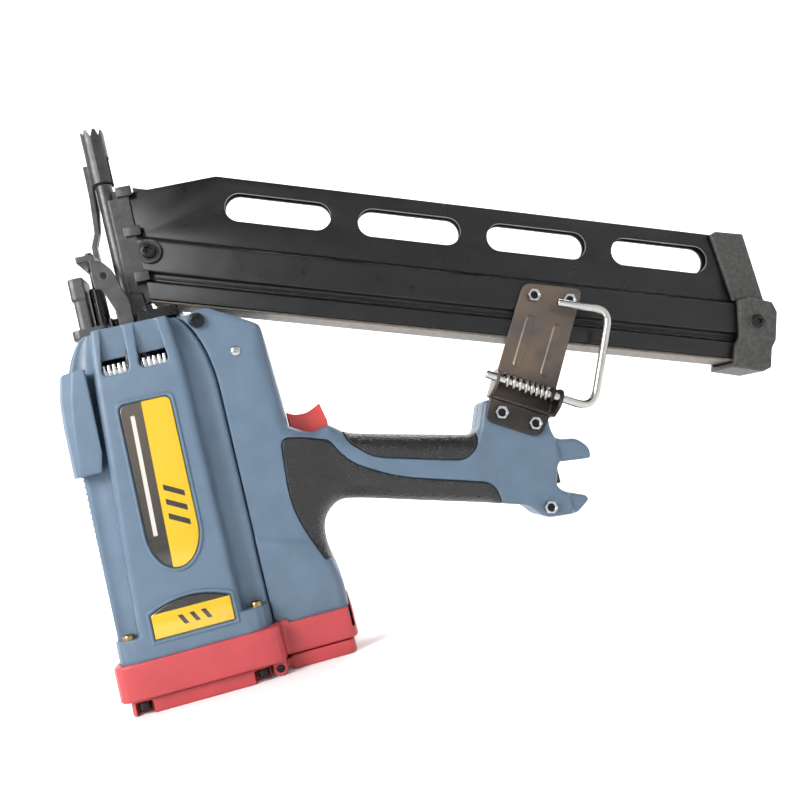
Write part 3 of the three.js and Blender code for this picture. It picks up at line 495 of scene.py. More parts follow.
def anodised():
    paint = Paint("anodised_black", (0.006, 0.0063, 0.007), 0.34, 0.2, Specular_IOR_Level=0.4)
    paint.varied(25, 0.3).polished(12, 0.07)
    return paint.rough_by(paint.noise(0.5, 4, (0.08, 1, 1)), 0.25, 0.012).material


def steel(name, color, roughness, grain=0.6, depth=0.02, metallic=0.85, amount=0.18):
    paint = Paint(name, color, roughness, metallic).varied(5, amount).polished(3, 0.08)
    return paint.rough_by(paint.noise(grain, 4), 0.4, depth).material


def bracket_plating():
    """Dark nickel on sheet steel that has gone brown in broad clouds."""
    paint = Paint("bracket_plating", (0.115, 0.092, 0.075), 0.36, 0.65)
    cloud = paint.spread(paint.noise(22, 3), 0.35, 0.65)
    brown = paint.blend(cloud, (0.086, 0.077, 0.070), (0.140, 0.104, 0.078))
    foot = paint.spread(paint.axis(2), 150.0, 124.0)
    paint.colored(paint.blend(foot, brown, (0.034, 0.030, 0.027))).polished(8, 0.07)
    return paint.rough_by(paint.noise(0.5, 4), 0.3, 0.02).material


def casting():
    """Die casting with a coarse skin and lighter, rubbed high spots."""
    paint = Paint("cast_grey", (0.050, 0.048, 0.044), 0.55, 0.3)
    rubbed = paint.spread(paint.noise(3, 6), 0.42, 0.72)
    paint.colored(paint.blend(rubbed, (0.040, 0.039, 0.036), (0.078, 0.075, 0.070))).polished(3, 0.08)
    return paint.rough_by(paint.noise(0.8, 5), 0.6, 0.06).material


def chrome():
    paint = Paint("hook_chrome", (0.46, 0.45, 0.43), 0.15, 1.0, Specular_Tint=(0.5, 0.49, 0.48, 1))
    paint.varied(12, 0.06).polished(5, 0.05)
    return paint.rough_by(paint.noise(2.5, 3), 0.15, 0.02).material


PAINTS = {
    "housing_blue": plastic("housing_blue", (0.082, 0.127, 0.182), 0.42),
    "cap_red": plastic("cap_red", (0.400, 0.040, 0.046), 0.42),
    "trigger_red": plastic("trigger_red", (0.560, 0.052, 0.050), 0.34, 0.5, 0.01),
    "grip_rubber": pebbled_rubber(),
    "anodised_black": anodised(),
    "bracket_steel": bracket_plating(),
    "nose_steel": steel("nose_steel", (0.062, 0.062, 0.064), 0.42),
    "cast_grey": casting(),
    "hook_chrome": chrome(),
    "rail_steel": steel("rail_steel", (0.110, 0.092, 0.074), 0.50, 0.7, 0.02, 0.25, 0.25),
    "zinc": steel("zinc", (0.42, 0.43, 0.45), 0.20, 1.5, 0.01, 1.0, 0.08),
    "raw_aluminium": steel("raw_aluminium", (0.62, 0.63, 0.64), 0.28, 0.8, 0.02, 1.0, 0.10),
    "spring_steel": steel("spring_steel", (0.36, 0.34, 0.30), 0.22, 1.0, 0.01, 1.0, 0.12),
    "black_steel": steel("black_steel", (0.012, 0.012, 0.013), 0.32, 0.7, 0.01, 0.6, 0.2),
    "black_plastic": plastic("black_plastic", (0.013, 0.013, 0.014), 0.45),
    "circuit_green": plastic("circuit_green", (0.02, 0.13, 0.05), 0.35, 0.8, 0.01),
    "cell_metal": steel("cell_metal", (0.70, 0.70, 0.68), 0.32, 1.2, 0.01, 0.5, 0.05),
    "brass": steel("brass", (0.34, 0.24, 0.10), 0.25, 0.8, 0.01, 1.0, 0.15),
}


# ------------ motor housing
HOUSING_LOW, HOUSING_HIGH = box_mm("motor_housing")
HALF_X, HALF_Y = HOUSING_HIGH.x, HOUSING_HIGH.y
HOUSING_BASE, HOUSING_TOP = HOUSING_LOW.z, HOUSING_HIGH.z
CAP_TOP = box_mm("end_cap")[1].z
DEPTH_TAPER = 0.045
LEDGE = 45.0
SHOULDER_START, SHOULDER_HEIGHT, SHOULDER_DROP = 180.0, 56.0, 24.0
WALL_SHARE = 0.935
PANEL_FOOT, PANEL_RISE = 35.0, 190.0
RECESS_MARGIN, RECESS_DEPTH = 0.7, 1.4
NECK_RADIUS = 15.0
HOUSING_VOXEL = 0.62


def half_x(z):
    t = min(1.0, max(0.0, (z - SHOULDER_START) / SHOULDER_HEIGHT))
    return HALF_X - SHOULDER_DROP * (1 - math.sqrt(1 - t * t))


def half_y(z):
    return HALF_Y - DEPTH_TAPER * max(0.0, z - CAP_TOP)


def panel_edges(z):
    """The flat panel narrows towards the nose, more on its left."""
    t = (z - PANEL_FOOT) / PANEL_RISE
    return -28.0 + 8.0 * t, 28.4 - 3.4 * t


PANEL_EDGE = 28.4
FLUTED_CORNER = [
    (47.0, 14.5), (47.0, 29.0), (46.8, 31.2), (46.0, 32.9), (44.7, 33.6), (43.0, 33.4),
    (41.5, 33.3), (39.2, 33.6), (37.0, 34.5), (35.0, 36.0), (33.5, 38.0), (32.6, 40.2),
    (32.2, 42.5), (31.8, 44.6), (31.1, 46.3), (30.0, 47.5), (PANEL_EDGE, 48.0),
]
PLAIN_CORNER = [
    (47.0, 14.5), (47.0, 35.0), (46.2, 39.6), (43.7, 43.7), (39.6, 46.9), (34.0, 48.0),
    (PANEL_EDGE, 48.0),
]


def housing_ring(z, corner, share=1.0):
    """The housing's outline at a height, from one corner used four times."""
    left, right = panel_edges(z)
    wide, deep = half_x(z), half_y(z)
    ring = []
    for sign_x, sign_y in ((1, -1), (1, 1), (-1, 1), (-1, -1)):
        edge = right if sign_x > 0 else -left
        points = [(sign_x * (edge + (x - PANEL_EDGE) * (wide - edge) / (HALF_X - PANEL_EDGE)),
                   sign_y * y * deep / HALF_Y) for x, y in corner]
        ring.extend(points if sign_x * sign_y > 0 else points[::-1])
    return [(x * share, y * share, z) for x, y in ring]


def onto_panel(piece):
    """Leans a piece drawn upright at the panel's foot onto the sloping near panel."""
    foot = Matrix.Translation(Vector((0, -HALF_Y, CAP_TOP)) * MM)
    lean = Matrix.Rotation(-math.atan(DEPTH_TAPER), 4, "X")
    return moved(piece, foot @ lean @ foot.inverted())


def large_label(grow):
    """Square above and half an ellipse below."""
    left, right, top, low, tip = -13.6 - grow, 17.2 + grow, 184 + grow, 104, 80.5 - grow
    middle, half = (left + right) / 2, (right - left) / 2
    points = outline([(right, low), (right, top, 5), (left, top, 5), (left, low)], 8)
    for i in range(1, 24):
        angle = math.pi + math.pi * i / 24
        points.append(Vector((middle + half * math.cos(angle), low + (low - tip) * math.sin(angle))))
    return points


def small_label(grow):
    """A low arch."""
    left, right, low, side, top = -21 - grow, 26.5 + grow, 42 - grow, 56 + grow, 68 + grow
    arch = [(right + (left - right) * t, side + (top - side) * 2 * t * (1 - t))
            for t in (i / 16 for i in range(1, 16))]
    return [Vector(p) for p in [(left, low), (right, low), (right, side), *arch, (left, side)]]


VENTS = [
    [(-20, 204, 5), (-2.6, 204, 5), (-1.4, 237, 1), (-14.6, 237, 1)],
    [(3.3, 204.6, 5), (21.9, 204.6, 5), (18.6, 237, 1), (5.4, 237, 1)],
]
SCOOP = [(-60, 238), (-38.3, 236), (-33.9, 215.0), (-28, 213.4), (-28, 203), (-60, 203)]
SCOOP_FLOOR = [(-38.3, 233.6), (-34.0, 214.6), (-32.0, 214.6), (-36.3, 233.6)]


def motor_housing():
    """A hollow shell with shoulders, a neck hole, two vents each side and places for the plates."""
    steps = 18
    shoulder = [SHOULDER_START + (HOUSING_TOP - SHOULDER_START) * math.sin(math.pi / 2 * i / steps)
                for i in range(steps + 1)]
    upper = loft("upper", [housing_ring(z, FLUTED_CORNER) for z in [LEDGE - 0.5] + shoulder])
    lower = loft("lower", [housing_ring(z, PLAIN_CORNER) for z in (HOUSING_BASE, CAP_TOP, LEDGE)])
    shell = boolean(upper, [lower], "UNION")
    hollow = [-1.0, LEDGE] + [z for z in shoulder if z < HOUSING_TOP - 4]
    cavity = loft("cavity", [housing_ring(z, FLUTED_CORNER, WALL_SHARE) for z in hollow])
    tools = [cavity, prism("neck", circle(NECK_RADIUS), 220, 240, "z")]
    for side in (1, -1):
        low_y, high_y = sorted((18.5 * side, 25.5 * side))
        tools.append(block("link", (-9.5, low_y, 225), (7, high_y, 240)))
        for vent in VENTS:
            scoop = prism("scoop", SCOOP, -40, 40, "x")
            window = boolean(prism("window", outline(vent), -60, 0, "y"), [scoop], "INTERSECT")
            tools.append(mirrored(window) if side < 0 else window)
    for shape in (large_label, small_label):
        recess = prism("recess", shape(RECESS_MARGIN), -HALF_Y - 4, -HALF_Y + RECESS_DEPTH, "y")
        tools.append(onto_panel(recess))
    shell = boolean(shell, tools)
    floors = [prism("floor", [(y * side, z) for y, z in SCOOP_FLOOR], -21, 23, "x")
              for side in (1, -1)]
    return moulded(merged("housing_shell", [shell] + floors), HOUSING_VOXEL, 3, 0.30)


finished(motor_housing(), "motor_housing")

FIN_STARTS = (-19.6, 5.2)
FIN_PITCH, FIN_WIDTH, FIN_COUNT = 3.2, 2.0, 5
FIN_FOOT, FIN_TOP, FIN_BAR_TOP = 202.6, 211.4, 208.0


def fin_comb(first):
    """Fins behind one vent, joined by a bar."""
    bars = []
    for i in range(FIN_COUNT):
        x = first + i * FIN_PITCH
        fin = block("fin", (x, -36.4, FIN_FOOT), (x + FIN_WIDTH, -33.8, FIN_TOP))
        bars.append(edged(fin, 0.4, segments=2))
    bar = block("fin", (first - 0.4, -34.6, FIN_FOOT), (first + 15.2, -33.6, FIN_BAR_TOP))
    bars.append(edged(bar, 0.3, segments=2))
    return merged("fins", bars)


near_combs = [fin_comb(first) for first in FIN_STARTS]
far_combs = [mirrored(fin_comb(first)) for first in FIN_STARTS]
trim(merged("vent_fins", near_combs + far_combs), ROOT, "raw_aluminium")


# ------------ nameplates and their frames
RIM_INNER, RIM_OUTER, RIM_PROUD = 1.0, 2.7, 0.9
DOME_MARGIN, DOME_PROUD, DOME_DEPTH = 0.25, 0.25, 1.3
YELLOW, BROWN, CREAM = (0.56, 0.35, 0.005), (0.022, 0.018, 0.014), (0.50, 0.48, 0.43)
SMALL_SPLIT_Z = 56.4


def rim(name, shape):
    """A low moulded frame around a nameplate."""
    border = prism(name, shape(RIM_OUTER), -HALF_Y - RIM_PROUD, -HALF_Y + 1.0, "y")
    hole = prism("hole", shape(RIM_INNER), -HALF_Y - 3, -HALF_Y + 3, "y")
    return onto_panel(edged(boolean(border, [hole]), 0.45))


def resin(name):
    """Clear domed resin over a plain yellow field."""
    return Paint(name, YELLOW, 0.14, Coat_Weight=0.5, Coat_Roughness=0.05)


def with_resin(paint, color):
    return paint.colored(color).rough_by(paint.noise(14, 2), 0.1, 0.05).material


def large_plate_paint():
    """A brown side with a plain cream line, and a yellow side with slanted bars; no lettering."""
    paint = resin("nameplate_large")
    x, z = paint.axis(0), paint.axis(2)
    across = paint.sum((x, 1.0), (z, -0.0202), 3.82)
    field = paint.blend(paint.spread(z, 90.0, 180.0), BROWN, (0.060, 0.048, 0.036))
    color = paint.blend(paint.spread(across, 0.15, -0.15), YELLOW, field)
    line = paint.product(paint.stripe(across, -6.6, 1.35), paint.between(z, 101.5, 176.5, 0.5))
    color = paint.blend(line, color, CREAM)
    slant = paint.sum((x, 0.55), (z, 1.0))
    bars = paint.stripe(paint.repeat(slant, 9.0), 4.5, 1.9)
    bars = paint.product(bars, paint.between(slant, 107.9, 135.1, 0.2))
    bars = paint.product(bars, paint.between(across, 3.0, 15.3, 0.3))
    return with_resin(paint, paint.blend(bars, color, BROWN))


def small_plate_paint():
    """A brown arch over a yellow field with slanted bars; no lettering."""
    paint = resin("nameplate_small")
    x, z = paint.axis(0), paint.axis(2)
    dark = paint.spread(z, SMALL_SPLIT_Z - 0.1, SMALL_SPLIT_Z + 0.1)
    slant = paint.sum((x, 1.0), (z, 0.55))
    bars = paint.stripe(paint.repeat(slant, 7.0), 3.5, 1.5)
    bars = paint.product(bars, paint.between(z, 46.5, 52.8, 0.3))
    bars = paint.product(bars, paint.between(slant, 20.9, 42.1, 0.2))
    return with_resin(paint, paint.blend(bars, paint.blend(dark, YELLOW, BROWN), BROWN))


PAINTS["nameplate_large"] = large_plate_paint()
PAINTS["nameplate_small"] = small_plate_paint()

for node, shape in (("nameplate_large", large_label), ("nameplate_small", small_label)):
    front, back = -HALF_Y - DOME_PROUD, -HALF_Y + DOME_DEPTH
    plate = prism(node + "_dome", shape(DOME_MARGIN), front, back, "y")
    finished(onto_panel(edged(plate, 0.7, segments=4)), node, paint=node)
    trim(rim(node + "_frame", shape), ROOT, "housing_blue")


# ------------ handle shells and rubber grips
FUEL_HALF = -box_mm("handle_shell_near")[0].y
GRIP_HALF, REAR_HALF, PRONG_HALF = 19.0, 16.8, 13.0
HEEL_STEP = 1.6
SEAM_GAP, SEAM_ROUND = 0.5, 1.2
HANDLE_SEAM_Y = 0.15
EDGE_BODY, EDGE_GRIP, EDGE_REAR = 9.0, 13.5, 3.2
CORE_INSET = 2.6
STUD_RADIUS, STUD_FLATNESS, STUD_PITCH = 1.15, 0.62, 7.6

HANDLE_SILHOUETTE = [
    (95.2, HOUSING_BASE, 1), (95.4, 46, 6), (91.2, 66, 6), (91.6, 84, 9), (104, 95, 12),
    (120, 91.6, 10), (166, 78, 10), (213, 64.4, 3), (229, 59.2, 4), (238, 48, 6), (262, 45.5, 3),
    (272.5, 52.5, 2.5), (271, 56, 2), (254.5, 63, 4), (251.3, 68, 2), (256.4, 82.6, 3),
    (280.7, 79.6, 2), (282, 87, 5), (274, 96, 5), (261, 97.6, 5), (256.5, 105, 4),
    (257.2, 113.6, 2), (221.2, 135.3, 2), (215.5, 135.8, 3), (207, 114.5, 7), (156.5, 127, 20),
    (120, 136.5, 8), (109.5, 144.5, 1), (96, 141.5, 10), (83.5, 149.5, 1), (83.4, 164, 8),
    (81, 217.5, 3), (73, 222.5, 3), (49.5, 236, 4), (33.4, 232.6, 1),
]
GRIPS = {
    "lower_grip": [
        (77.4, 142.4, 6), (92, 139.4, 5), (107.5, 134.2, 3), (116.5, 117, 12), (146, 99.6, 14),
        (190, 86.0, 8), (209.4, 80.0, 9), (212, 55), (166, 65), (120, 75), (104, 80), (97, 60),
        (87.5, 61), (78, 84, 14), (74.2, 104, 12),
    ],
    "upper_grip": [
        (114, 152), (119.5, 130, 5), (133, 116.5, 8), (160, 108.6, 14), (193, 99.6, 6),
        (204.5, 106.5, 6), (207, 128), (160, 140),
    ],
}
STUD_ROWS = {
    "lower_grip": [
        [(112, 124), (124, 110), (150, 97.5), (190, 83.5)],
        [(104, 113), (118, 100), (150, 86), (200, 72)],
    ],
    "upper_grip": [
        [(131, 124), (160, 116), (200, 108)],
        [(124, 130), (160, 121.5), (203, 113.5)],
    ],
}


def smooth_step(value, low, high):
    t = np.clip((value - low) / (high - low), 0, 1)
    return t * t * (3 - 2 * t)


def distance_to_path(points, path, closed=False):
    """Distance from each point to a line of corners."""
    ends = np.roll(path, -1, axis=0) if closed else path[1:]
    starts = path if closed else path[:-1]
    best = np.full(len(points), 1e9)
    for a, b in zip(starts, ends):
        along = b - a
        t = np.clip(((points - a) @ along) / max(1e-9, along @ along), 0, 1)
        best = np.minimum(best, np.hypot(*(points - a - t[:, None] * along).T))
    return best


def inside(points, path):
    """Whether each point is in a closed outline."""
    x, z = points.T
    result = np.zeros(len(points), bool)
    for (x0, z0), (x1, z1) in zip(path, np.roll(path, -1, axis=0)):
        crosses = (z0 > z) != (z1 > z)
        slope = (x1 - x0) / (z1 - z0) if z1 != z0 else 0.0
        result ^= crosses & (x < x0 + (z - z0) * slope)
    return result


SILHOUETTE = np.array([tuple(p) for p in outline(HANDLE_SILHOUETTE, 8)])
SEAM_PATH = np.array([(half_x(z) + SEAM_GAP, z) for z in np.linspace(233.0, HOUSING_BASE, 70)])


def handle_depth(points):
    """Half thickness of the handle body over the plane of X and Z, in millimetres.

    The body is as thick as the fuel bay in front and above the heel thins to the grip, the rear
    and the prongs. Its outer edge and its seam against the motor housing are rounded off.
    """
    x, z = points.T
    above_heel = np.maximum(smooth_step(z, 52, 76), smooth_step(x, 104, 120))
    root = smooth_step(x, 72, 112) * smooth_step(z, 150, 134) * above_heel
    base = FUEL_HALF - HEEL_STEP - (FUEL_HALF - HEEL_STEP - GRIP_HALF) * root
    crease = z - np.interp(x, [40, 80, 90, 95, 100], [86, 73, 63, 46, 20])
    base = base + HEEL_STEP * smooth_step(crease, 3.0, -1.5) * (1 - root)
    base = base - (GRIP_HALF - REAR_HALF) * smooth_step(x, 198, 214)
    base = base - (REAR_HALF - PRONG_HALF) * smooth_step(x, 256.5, 259.5)
    edge = EDGE_BODY + (EDGE_GRIP - EDGE_BODY) * smooth_step(x, 84, 112)
    sharper = 6.0 * smooth_step(z, 206, 222) + 3.0 * smooth_step(z, 70, 50)
    edge = np.where(x < 100, edge - sharper, edge)
    edge = edge - (edge - EDGE_REAR) * smooth_step(x, 199, 212)
    t = np.clip(distance_to_path(points, SILHOUETTE) / edge, 0, 1)
    drop_outer = edge * (1 - np.sqrt(1 - (1 - t) ** 2))
    s = np.clip(distance_to_path(points, SEAM_PATH) / SEAM_ROUND, 0, 1)
    drop_seam = SEAM_ROUND * (1 - np.sqrt(1 - (1 - s) ** 2))
    return np.maximum(base - drop_outer - drop_seam, 0.6)


def resampled(path, spacing):
    """Points along a closed outline, no further apart than a spacing."""
    points = []
    for a, b in zip(path, np.roll(path, -1, axis=0)):
        count = max(1, int(math.ceil(np.hypot(*(b - a)) / spacing)))
        points.extend(a + (b - a) * i / count for i in range(count))
    return np.array(points)


def handle_form():
    """The near half of the handle body as one closed solid."""
    edge = resampled(np.vstack([SILHOUETTE, SEAM_PATH]), 1.6)
    edge = edge[np.hypot(*(edge - np.roll(edge, 1, axis=0)).T) > 0.05]
    across, up = (np.arange(low, high, 1.7) for low, high in zip(edge.min(0), edge.max(0)))
    grid = np.stack(np.meshgrid(across, up), -1).reshape(-1, 2)
    grid = grid[inside(grid, edge)]
    grid = grid[distance_to_path(grid, edge, True) > 3.2]
    tangent = np.roll(edge, -1, axis=0) - np.roll(edge, 1, axis=0)
    normal = np.stack([-tangent[:, 1], tangent[:, 0]], 1) / np.hypot(*tangent.T)[:, None]
    rings = []
    for depth in (0.25, 0.8, 1.7, 2.8):
        ring = edge + normal * depth
        if not inside(ring[:40], edge).any():
            ring = edge - normal * depth
        near = distance_to_path(ring, edge, True)
        rings.append(ring[inside(ring, edge) & (near > depth * 0.9)])
    points = [Vector(p) for p in np.vstack([edge, grid] + rings)]
    verts, _, faces, *_ = geometry.delaunay_2d_cdt(points, [], [list(range(len(edge)))], 1, 1e-5)
    plan = np.array([tuple(v) for v in verts])
    bm = bmesh.new()
    outer = [bm.verts.new(Vector((x, -d, z)) * MM) for (x, z), d in zip(plan, handle_depth(plan))]
    inner = [bm.verts.new(Vector((x, -HANDLE_SEAM_Y, z)) * MM) for x, z in plan]
    used = {}
    for face in faces:
        bm.faces.new([outer[i] for i in face])
        bm.faces.new([inner[i] for i in reversed(face)])
        used.update(dict.fromkeys(zip(face, face[1:] + face[:1])))
    for a, b in used:
        if (b, a) not in used:
            bm.faces.new((outer[b], outer[a], inner[a], inner[b]))
    return from_bmesh("handle_form", bm)


def zone(corners, grow):
    """A cutter over a grip's outline, grown or shrunk all round."""
    points = np.array([tuple(p) for p in outline(corners, 8)])
    following = np.roll(points, -1, axis=0)
    tangent = following - np.roll(points, 1, axis=0)
    length = np.maximum(1e-6, np.hypot(*tangent.T))
    normal = np.stack([tangent[:, 1], -tangent[:, 0]], 1) / length[:, None]
    area = np.sum(points[:, 0] * following[:, 1] - following[:, 0] * points[:, 1])
    points = points + normal * grow * math.copysign(1, area)
    return prism("zone", [tuple(p) for p in points], -60, 0.5, "y")


def grip_studs(paths, pitch):
    """Small domes in rows along the grips."""
    domes = []
    for path in paths:
        path = np.array(path, float)
        lengths = np.hypot(*np.diff(path, axis=0).T)
        at = np.concatenate([[0], np.cumsum(lengths)])
        for s in np.arange(pitch / 2, lengths.sum(), pitch):
            domes.append((np.interp(s, at, path[:, 0]), np.interp(s, at, path[:, 1])))
    spots = np.array(domes)
    depth = handle_depth(spots)
    step = 0.3
    slope_x = (handle_depth(spots + (step, 0)) - depth) / step
    slope_z = (handle_depth(spots + (0, step)) - depth) / step
    parts = []
    for (x, z), d, sx, sz in zip(spots, depth, slope_x, slope_z):
        normal = Vector((-sx, -1, -sz)).normalized()
        bm = bmesh.new()
        bmesh.ops.create_icosphere(bm, subdivisions=2, radius=STUD_RADIUS * MM)
        bmesh.ops.scale(bm, vec=(1, 1, STUD_FLATNESS), verts=bm.verts)
        turn = normal.to_track_quat("Z", "Y").to_matrix().to_4x4()
        spot = Vector((x, -d, z)) * MM - normal * 0.05 * MM
        bmesh.ops.transform(bm, matrix=Matrix.Translation(spot) @ turn, verts=bm.verts)
        parts.append(from_bmesh("stud", bm))
    return parts


def trigger_room():
    """Room for the trigger and its pull."""
    return block("trigger_room", (83.2, -9.5, 134.4), (110.6, 1, 170))


def make_handle():
    """Two shells over an inset core, with rubber grips let into them on both sides."""
    form = handle_form()
    core = copied(form, "handle_core")
    shrink = core.modifiers.new("shrink", "DISPLACE")
    shrink.strength = -CORE_INSET * MM
    shrink.mid_level = 0
    core = boolean(applied(core), [trigger_room()])
    for name, corners in GRIPS.items():
        skin = boolean(copied(form, "grip_skin"), [zone(corners, -SEAM_GAP / 2)], "INTERSECT")
        skin = boolean(skin, [block("behind", (0, -0.8, 0), (300, 5, 300)), trigger_room()])
        skin = moulded(skin, 0.55, 4, 0.4)
        studs = grip_studs(STUD_ROWS[name], STUD_PITCH)
        skin = smooth_faces(merged(name + "_rubber", [skin] + studs))
        finished(mirrored(copied(skin, name + "_rubber_far")), name + "_far")
        finished(skin, name + "_near")
    shell = boolean(form, [zone(corners, SEAM_GAP / 2) for corners in GRIPS.values()])
    shell = boolean(shell, [trigger_room()])
    shell = moulded(merged("handle_shell", [shell, core]), 0.6, 4, 0.35)
    finished(mirrored(copied(shell, "handle_shell_far_moulding")), "handle_shell_far")
    finished(shell, "handle_shell_near")


make_handle()


# ------------ magazine
def joint_angle(joint):
    """How far a joint's axis leans down from +X."""
    axis = JOINTS[joint]["axis"]
    return math.atan2(-axis[2], axis[0])


def frame_at(place, angle):
    return Matrix.Translation(place) @ Matrix.Rotation(angle, 4, "Y")


MAG_FRAME = frame_at(Vector((14, 0, 329.1)) * MM, joint_angle("follower_slide"))
MAG_FRONT_X = box_mm("magazine_near")[0].x
MAG_FRONT_Z = box_mm("magazine_near")[1].z
MAG_TOP, MAG_STEP, MAG_BOTTOM, MAG_REAR = 18.0, -31.0, -72.7, 447.0
SLOT_COUNT, SLOT_FIRST, SLOT_PITCH = 4, 66.0, 91.3
SLOT_LENGTH, SLOT_RADIUS, SLOT_HEIGHT = 72.5, 10.0, -1.7


def magazine_half(side):
    """An extrusion with a thin slotted fin above and a box below, cut off square to the tool."""
    section = [
        (3, MAG_TOP, 0.5), (5.2, MAG_TOP, 0.5), (5.2, MAG_STEP + 1.2, 1.2),
        (13.4, MAG_STEP - 2, 1.6), (13.4, -54, 0.8), (11, -55.4, 0.6), (11, -57.2, 0.4),
        (11.9, -57.5, 0.3), (11.9, -58.3, 0.3), (11, -58.6, 0.4), (11, -60, 0.6),
        (13.4, -61.4, 0.8), (13.4, MAG_BOTTOM, 0.8), (3, MAG_BOTTOM), (3, -69.5),
        (5.2, -69.5), (5.2, -63), (3, -61),
    ]
    half = prism("half", [(side * p.x, p.y) for p in outline(section, 4)], -40, MAG_REAR, "x")
    hollows = [
        [(4.6, -34.6), (11.8, -34.6), (11.8, -53.2), (9.5, -54.7), (9.5, -59.3), (4.6, -59.3)],
        [(6.9, -62.6), (11.8, -62.6), (11.8, -71.1), (6.9, -71.1)],
    ]
    tools = [prism("hollow", [(side * y, n) for y, n in corners], -50, MAG_REAR + 50, "x")
             for corners in hollows]
    for i in range(SLOT_COUNT):
        start = SLOT_FIRST + i * SLOT_PITCH + SLOT_RADIUS
        end = start + SLOT_LENGTH - 2 * SLOT_RADIUS
        points = []
        for middle, first in ((start, math.pi / 2), (end, -math.pi / 2)):
            for a in (first + math.pi * k / 24 for k in range(25)):
                points.append((middle + SLOT_RADIUS * math.cos(a), SLOT_HEIGHT + SLOT_RADIUS * math.sin(a)))
        tools.append(prism("slot", points, -20, 20, "y"))
    if side > 0:
        tools.append(block("thumb_slot", (46, 0, -59.6), (412, 20, -55.8)))
    half = moved(boolean(half, tools), MAG_FRAME)
    front = block("front", (-60, -30, 200), (MAG_FRONT_X, 30, 420))
    above = block("above", (-60, -30, MAG_FRONT_Z), (200, 30, 420))
    mitre = [(MAG_REAR - 30, MAG_TOP + 3), (MAG_REAR - 10, MAG_STEP), (MAG_REAR + 1, MAG_STEP - 2),
             (MAG_REAR + 9, MAG_TOP + 9)]
    rear = moved(prism("rear", mitre, -30, 30, "y"), MAG_FRAME)
    return boolean(half, [front, above, rear])


for side, name in ((-1, "near"), (1, "far")):
    half = shade_by_angle(magazine_half(side), 35)
    half.name = "magazine_extrusion_" + name
    finished(edged(half, 0.35, 60, 2, 35), "magazine_" + name)


# ------------ wire parts of the hook
HOOK_ANGLE = joint_angle("hook_swing")
HOOK_FRAME = frame_at(Vector(JOINTS["hook_swing"]["pos_m"]), HOOK_ANGLE)
HOOK_WIRE = 2.75
HOOK_PATH = [(-30.5, 0), (46.6, 0, 13), (38.8, 68.2, 11), (2.5, 61.8)]
COIL_RADIUS, COIL_WIRE, COIL_TURNS = 4.05, 1.22, 8.2
COIL_START, COIL_END, COIL_CROWDING = -18.4, 13.8, 0.12
BUSHING_BORE, BUSHING_RADIUS, BUSHING_START, BUSHING_END = 2.85, 5.4, 15.3, 17.2


def wire(name, points, radius, segments=16, ease=0.0):
    """A round wire through points, with its ends closed and slightly rounded."""
    points = [Vector(p) for p in points]
    points = [p for i, p in enumerate(points) if i == 0 or (p - points[i - 1]).length > 1e-4]
    angles = [2 * math.pi * k / segments for k in range(segments)]
    rings = []
    tangent = (points[1] - points[0]).normalized()
    side = tangent.orthogonal().normalized()
    for i, point in enumerate(points):
        ahead = points[min(i + 1, len(points) - 1)] - points[max(i - 1, 0)]
        turn = tangent.rotation_difference(ahead.normalized())
        side = turn @ side
        tangent = ahead.normalized()
        other = tangent.cross(side)
        sizes = [(0.0, radius)]
        if ease and i == 0:
            sizes = [(0.0, radius - ease), (ease * 0.3, radius - ease * 0.3), (ease, radius)]
        if ease and i == len(points) - 1:
            sizes = [(-ease, radius), (-ease * 0.3, radius - ease * 0.3), (0.0, radius - ease)]
        for along, size in sizes:
            middle = point + tangent * along
            rings.append([middle + (side * math.cos(a) + other * math.sin(a)) * size for a in angles])
    return shade_by_angle(loft(name, rings), 50)


def path_with_bends(corners, steps=12):
    """An open path from corners (x, z, ease), rounded at each inner corner."""
    places = [Vector((corner[0], 0, corner[1])) for corner in corners]
    points = [places[0]]
    for before, here, after, corner in zip(places, places[1:], places[2:], corners[1:]):
        start = here + (before - here).normalized() * corner[2]
        end = here + (after - here).normalized() * corner[2]
        points.extend(bend(start, here, end, steps))
    return points + [places[-1]]


def hook_coil(steps=330):
    """A coil along X whose last turns lie closer together."""
    points = []
    for i in range(steps + 1):
        t = i / steps
        along = t + COIL_CROWDING * math.sin(math.pi * t) * 0.5
        angle = 2 * math.pi * COIL_TURNS * t
        points.append((COIL_START + (COIL_END - COIL_START) * along, COIL_RADIUS * math.cos(angle),
                       COIL_RADIUS * math.sin(angle)))
    return wire("hook_coil", points, COIL_WIRE, 12)


def hook_bushing():
    profile = [(BUSHING_BORE, BUSHING_START), (BUSHING_RADIUS, BUSHING_START),
               (BUSHING_RADIUS, BUSHING_END), (BUSHING_BORE, BUSHING_END)]
    bushing = shade_by_angle(turned("hook_bushing", profile, 36), 35)
    return moved(bushing, Matrix.Rotation(math.pi / 2, 4, "Y"))


hook = wire("hook_wire", path_with_bends(HOOK_PATH), HOOK_WIRE, 24, 0.6)
finished(moved(hook, HOOK_FRAME), "rafter_hook")
finished(moved(hook_coil(), HOOK_FRAME), "hook_spring")
trim(moved(hook_bushing(), HOOK_FRAME), BODY_OF["hook_spring"], "black_steel")


# ------------ nuts and screws
NUTS = ("rear_nut", "bracket_nut_1", "bracket_nut_2", "bracket_nut_3", "bracket_nut_4")
NUT_ACROSS, NUT_BORE, STUD_END_RADIUS = 8.0, 2.45, 2.35
NUT_TURN = HOOK_ANGLE + 0.2


